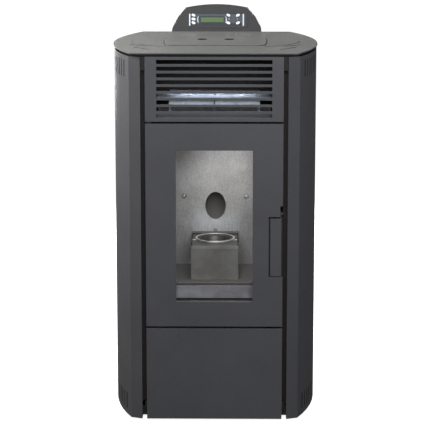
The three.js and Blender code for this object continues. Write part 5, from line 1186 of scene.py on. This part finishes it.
def console():
    """The moulded housing with its framed inset, display, bars, lights and keys."""
    dress("control_housing", 1.1 * MM, 3)
    dress("control_fascia", 0.35 * MM)
    dress("lcd_window", 0.3 * MM)
    for i in range(1, 8):
        dress(f"key_{i}", 0.8 * MM, 3)
    _, plate_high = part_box("top_plate")
    foot_point = Vector((0, plate_high[1] + 0.6 * MM, plate_high[2]))
    # x to the right, y up the sloping face and z out of it
    place = Matrix.Translation(foot_point) @ Matrix.Rotation(pi / 2 - CONSOLE_LEAN, 4, "X")
    inset = place @ shifted(0, 0, -INSET_DEPTH)

    def on_face(outline, depth, holes=(), soft=0.25 * MM):
        form = slab(outline, depth, inset, holes)
        return ease(form, soft) if soft else form

    over_rim = place @ shifted(0, 0, 0.05 * MM)
    opening = panel(-77.2, 77.2, 13.8, 48.4, 2)
    bezel = ease(slab(panel(-83, 83, 9.2, 53, 5), 1.0 * MM, over_rim, [opening]), 0.4 * MM)
    show("console_bezel", bezel, "frame", "console_plastic")

    band = on_face(panel(-69, 69.4, 14.6, 22.4, 1), 0.25 * MM, soft=0)
    show("fascia_band", band, "frame", "fascia_plastic", finish=DARK_GREY)

    bars = [
        on_face(rounded(x, x + 3.6 * MM, 15.2 * MM, 47.2 * MM, 1.2 * MM), 1.4 * MM, soft=0.4 * MM)
        for x in (-73.9 * MM, 69.6 * MM)
    ]
    show("fascia_bars", merged(*bars), "frame", "fascia_plastic", finish=SILVER)

    lcd_frame = on_face(
        panel(-46.2, 21.4, 22.6, 40.6, 1.6), 0.5 * MM,
        [panel(-43.6, 18.9, 24.6, 38.4, 0.6)], soft=0.15 * MM,
    )
    show("lcd_frame", lcd_frame, "frame", "fascia_plastic", finish=DARK_GREY)

    brackets = []
    for cx, side in ((-48.6 * MM, -1), (23.8 * MM, 1)):
        outer, inner = [], []
        for k in range(13):
            v = -1 + k / 6
            bow = side * BRACKET_BOW * (1 - v * v)
            y = BRACKET_CENTRE_Y + v * BRACKET_HALF
            wide = 0.35 * MM + BRACKET_SWELL * (1 - v * v)
            outer.append((cx + bow + wide, y))
            inner.append((cx + bow - wide, y))
        brackets.append(on_face(outer + inner[::-1], 0.7 * MM, soft=0.15 * MM))
    show("lcd_brackets", merged(*brackets), "frame", "fascia_plastic", finish=SILVER)

    dome = in_mm((2.3, 0), (2.3, 0.5), (1.7, 0.8), (1.5, 0.5), (1.4, 1), (0.8, 1.45), (0.2, 1.6))
    dots = [
        turned(dome, 28, place @ shifted(x * MM, SIGNALS_Y, -INSET_DEPTH))
        for x in SIGNALS_X
    ]
    show("signal_lights", merged(*dots), "frame", "fascia_plastic", finish=DULL_STEEL)


painted_body()
for i in range(1, 5):
    foot(f"levelling_foot_{i}")
rear_fasteners()
rear_liner()
pot_box()
burn_pot()
ash_pan()
igniter_rod()
intake_pipe()
flue()
gasket()
door_inside()
drum_wheel()
works()
grille_shade_baffles()
duct_front()
lid()
console()

NODES["door_glass"].data.materials.clear()
NODES["door_glass"].data.materials.append(FINISHES["door_glass"])

# ---- studio, stage

FLOOR_GLOW = 0.93
SURROUND_LIGHT = 0.1
SURROUND_SEEN = 1.05
KEY_POWER = 27
TOP_POWER = 13
REAR_POWER = 34
FILL_POWER = 47
SIDE_POWER = 4
FIREBOX_POWER = 0.195
FIREBOX_FRONT_POWER = 0.18
POT_POWER = 0.004
GRILLE_POWER = 0.09


def softbox(name, place, target, size, power, colour=(1, 1, 1)):
    """A rectangular light at place, facing target and unseen by the camera."""
    data = bpy.data.lights.new(name, "AREA")
    data.shape = "RECTANGLE"
    data.size, data.size_y = size
    data.energy = power
    data.color = colour
    lamp = bpy.data.objects.new(name, data)
    lamp.location = place
    lamp.rotation_euler = (Vector(target) - Vector(place)).to_track_quat("-Z", "Y").to_euler()
    lamp.visible_camera = False
    bpy.context.scene.collection.objects.link(lamp)
    return lamp


def make_stage():
    """A white floor and surround, five soft lights, and four small ones in the openings."""
    form = bmesh.new()
    bmesh.ops.create_grid(form, x_segments=1, y_segments=1, size=8)
    mesh = bpy.data.meshes.new("floor")
    form.to_mesh(mesh)
    form.free()
    ground = bpy.data.objects.new("floor", mesh)
    bpy.context.scene.collection.objects.link(ground)
    white = Finish("floor", (0.86, 0.86, 0.86), 0.9)
    white.shader.inputs["Emission Color"].default_value = (1, 1, 1, 1)
    lit = white.node("ShaderNodeLightPath").outputs["Is Camera Ray"]
    glow = white.spread(lit, 0.0, FLOOR_GLOW)
    white.tree.links.new(glow, white.shader.inputs["Emission Strength"])
    mesh.materials.append(white.material)
    ground.visible_diffuse = False
    ground.visible_glossy = False

    world = bpy.data.worlds.new("studio")
    bpy.context.scene.world = world
    world.use_nodes = True
    tree = world.node_tree
    seen = tree.nodes.new("ShaderNodeLightPath").outputs["Is Camera Ray"]
    strength = tree.nodes.new("ShaderNodeMapRange")
    tree.links.new(seen, strength.inputs["Value"])
    strength.inputs["To Min"].default_value = SURROUND_LIGHT
    strength.inputs["To Max"].default_value = SURROUND_SEEN
    background = tree.nodes["Background"]
    background.inputs["Color"].default_value = (1, 1, 1, 1)
    tree.links.new(strength.outputs["Result"], background.inputs["Strength"])

    softbox(
        "key", (-0.98, -0.16, 1.46), (-0.25, -0.12, 0.78), (0.5, 0.5), KEY_POWER, (1, 0.98, 0.95)
    )
    softbox("top", (0.15, 0.0, 2.4), (0, 0, 0.9), (1.2, 1.2), TOP_POWER)
    softbox("rear", (-0.3, 2.5, 0.72), (0, 0.2, 0.45), (1.6, 0.6), REAR_POWER)
    softbox("fill", (0.15, -2.6, 1.7), (0, 0, 0.6), (1.6, 1.0), FILL_POWER, (0.96, 0.97, 1))
    softbox("side", (1.3, -0.6, 1.5), (0.22, -0.1, 0.7), (0.7, 0.7), SIDE_POWER)
    softbox(
        "firebox_ceiling", (0.02, -0.13, 0.69), (0.03, -0.129, 0.3), (0.18, 0.14),
        FIREBOX_POWER, (0.96, 0.98, 1),
    )
    softbox(
        "firebox_front", (0.05, -0.215, 0.57), (0.06, 0, 0.46), (0.17, 0.12), FIREBOX_FRONT_POWER
    )
    pot = softbox(
        "pot_glow", (0, -0.075, 0.452), (0, -0.0115, 0.475), (0.09, 0.012),
        POT_POWER, (0.75, 0.9, 1),
    )
    pot.data.spread = radians(110)
    grille = softbox(
        "grille_glow", (0, -0.236, 0.895), (0, -0.238, 0.826), (0.19, 0.016),
        GRILLE_POWER, (0.82, 0.91, 1),
    )
    grille.data.spread = radians(70)


make_camera()
make_stage()
bpy.context.scene.view_settings.view_transform = "Standard"
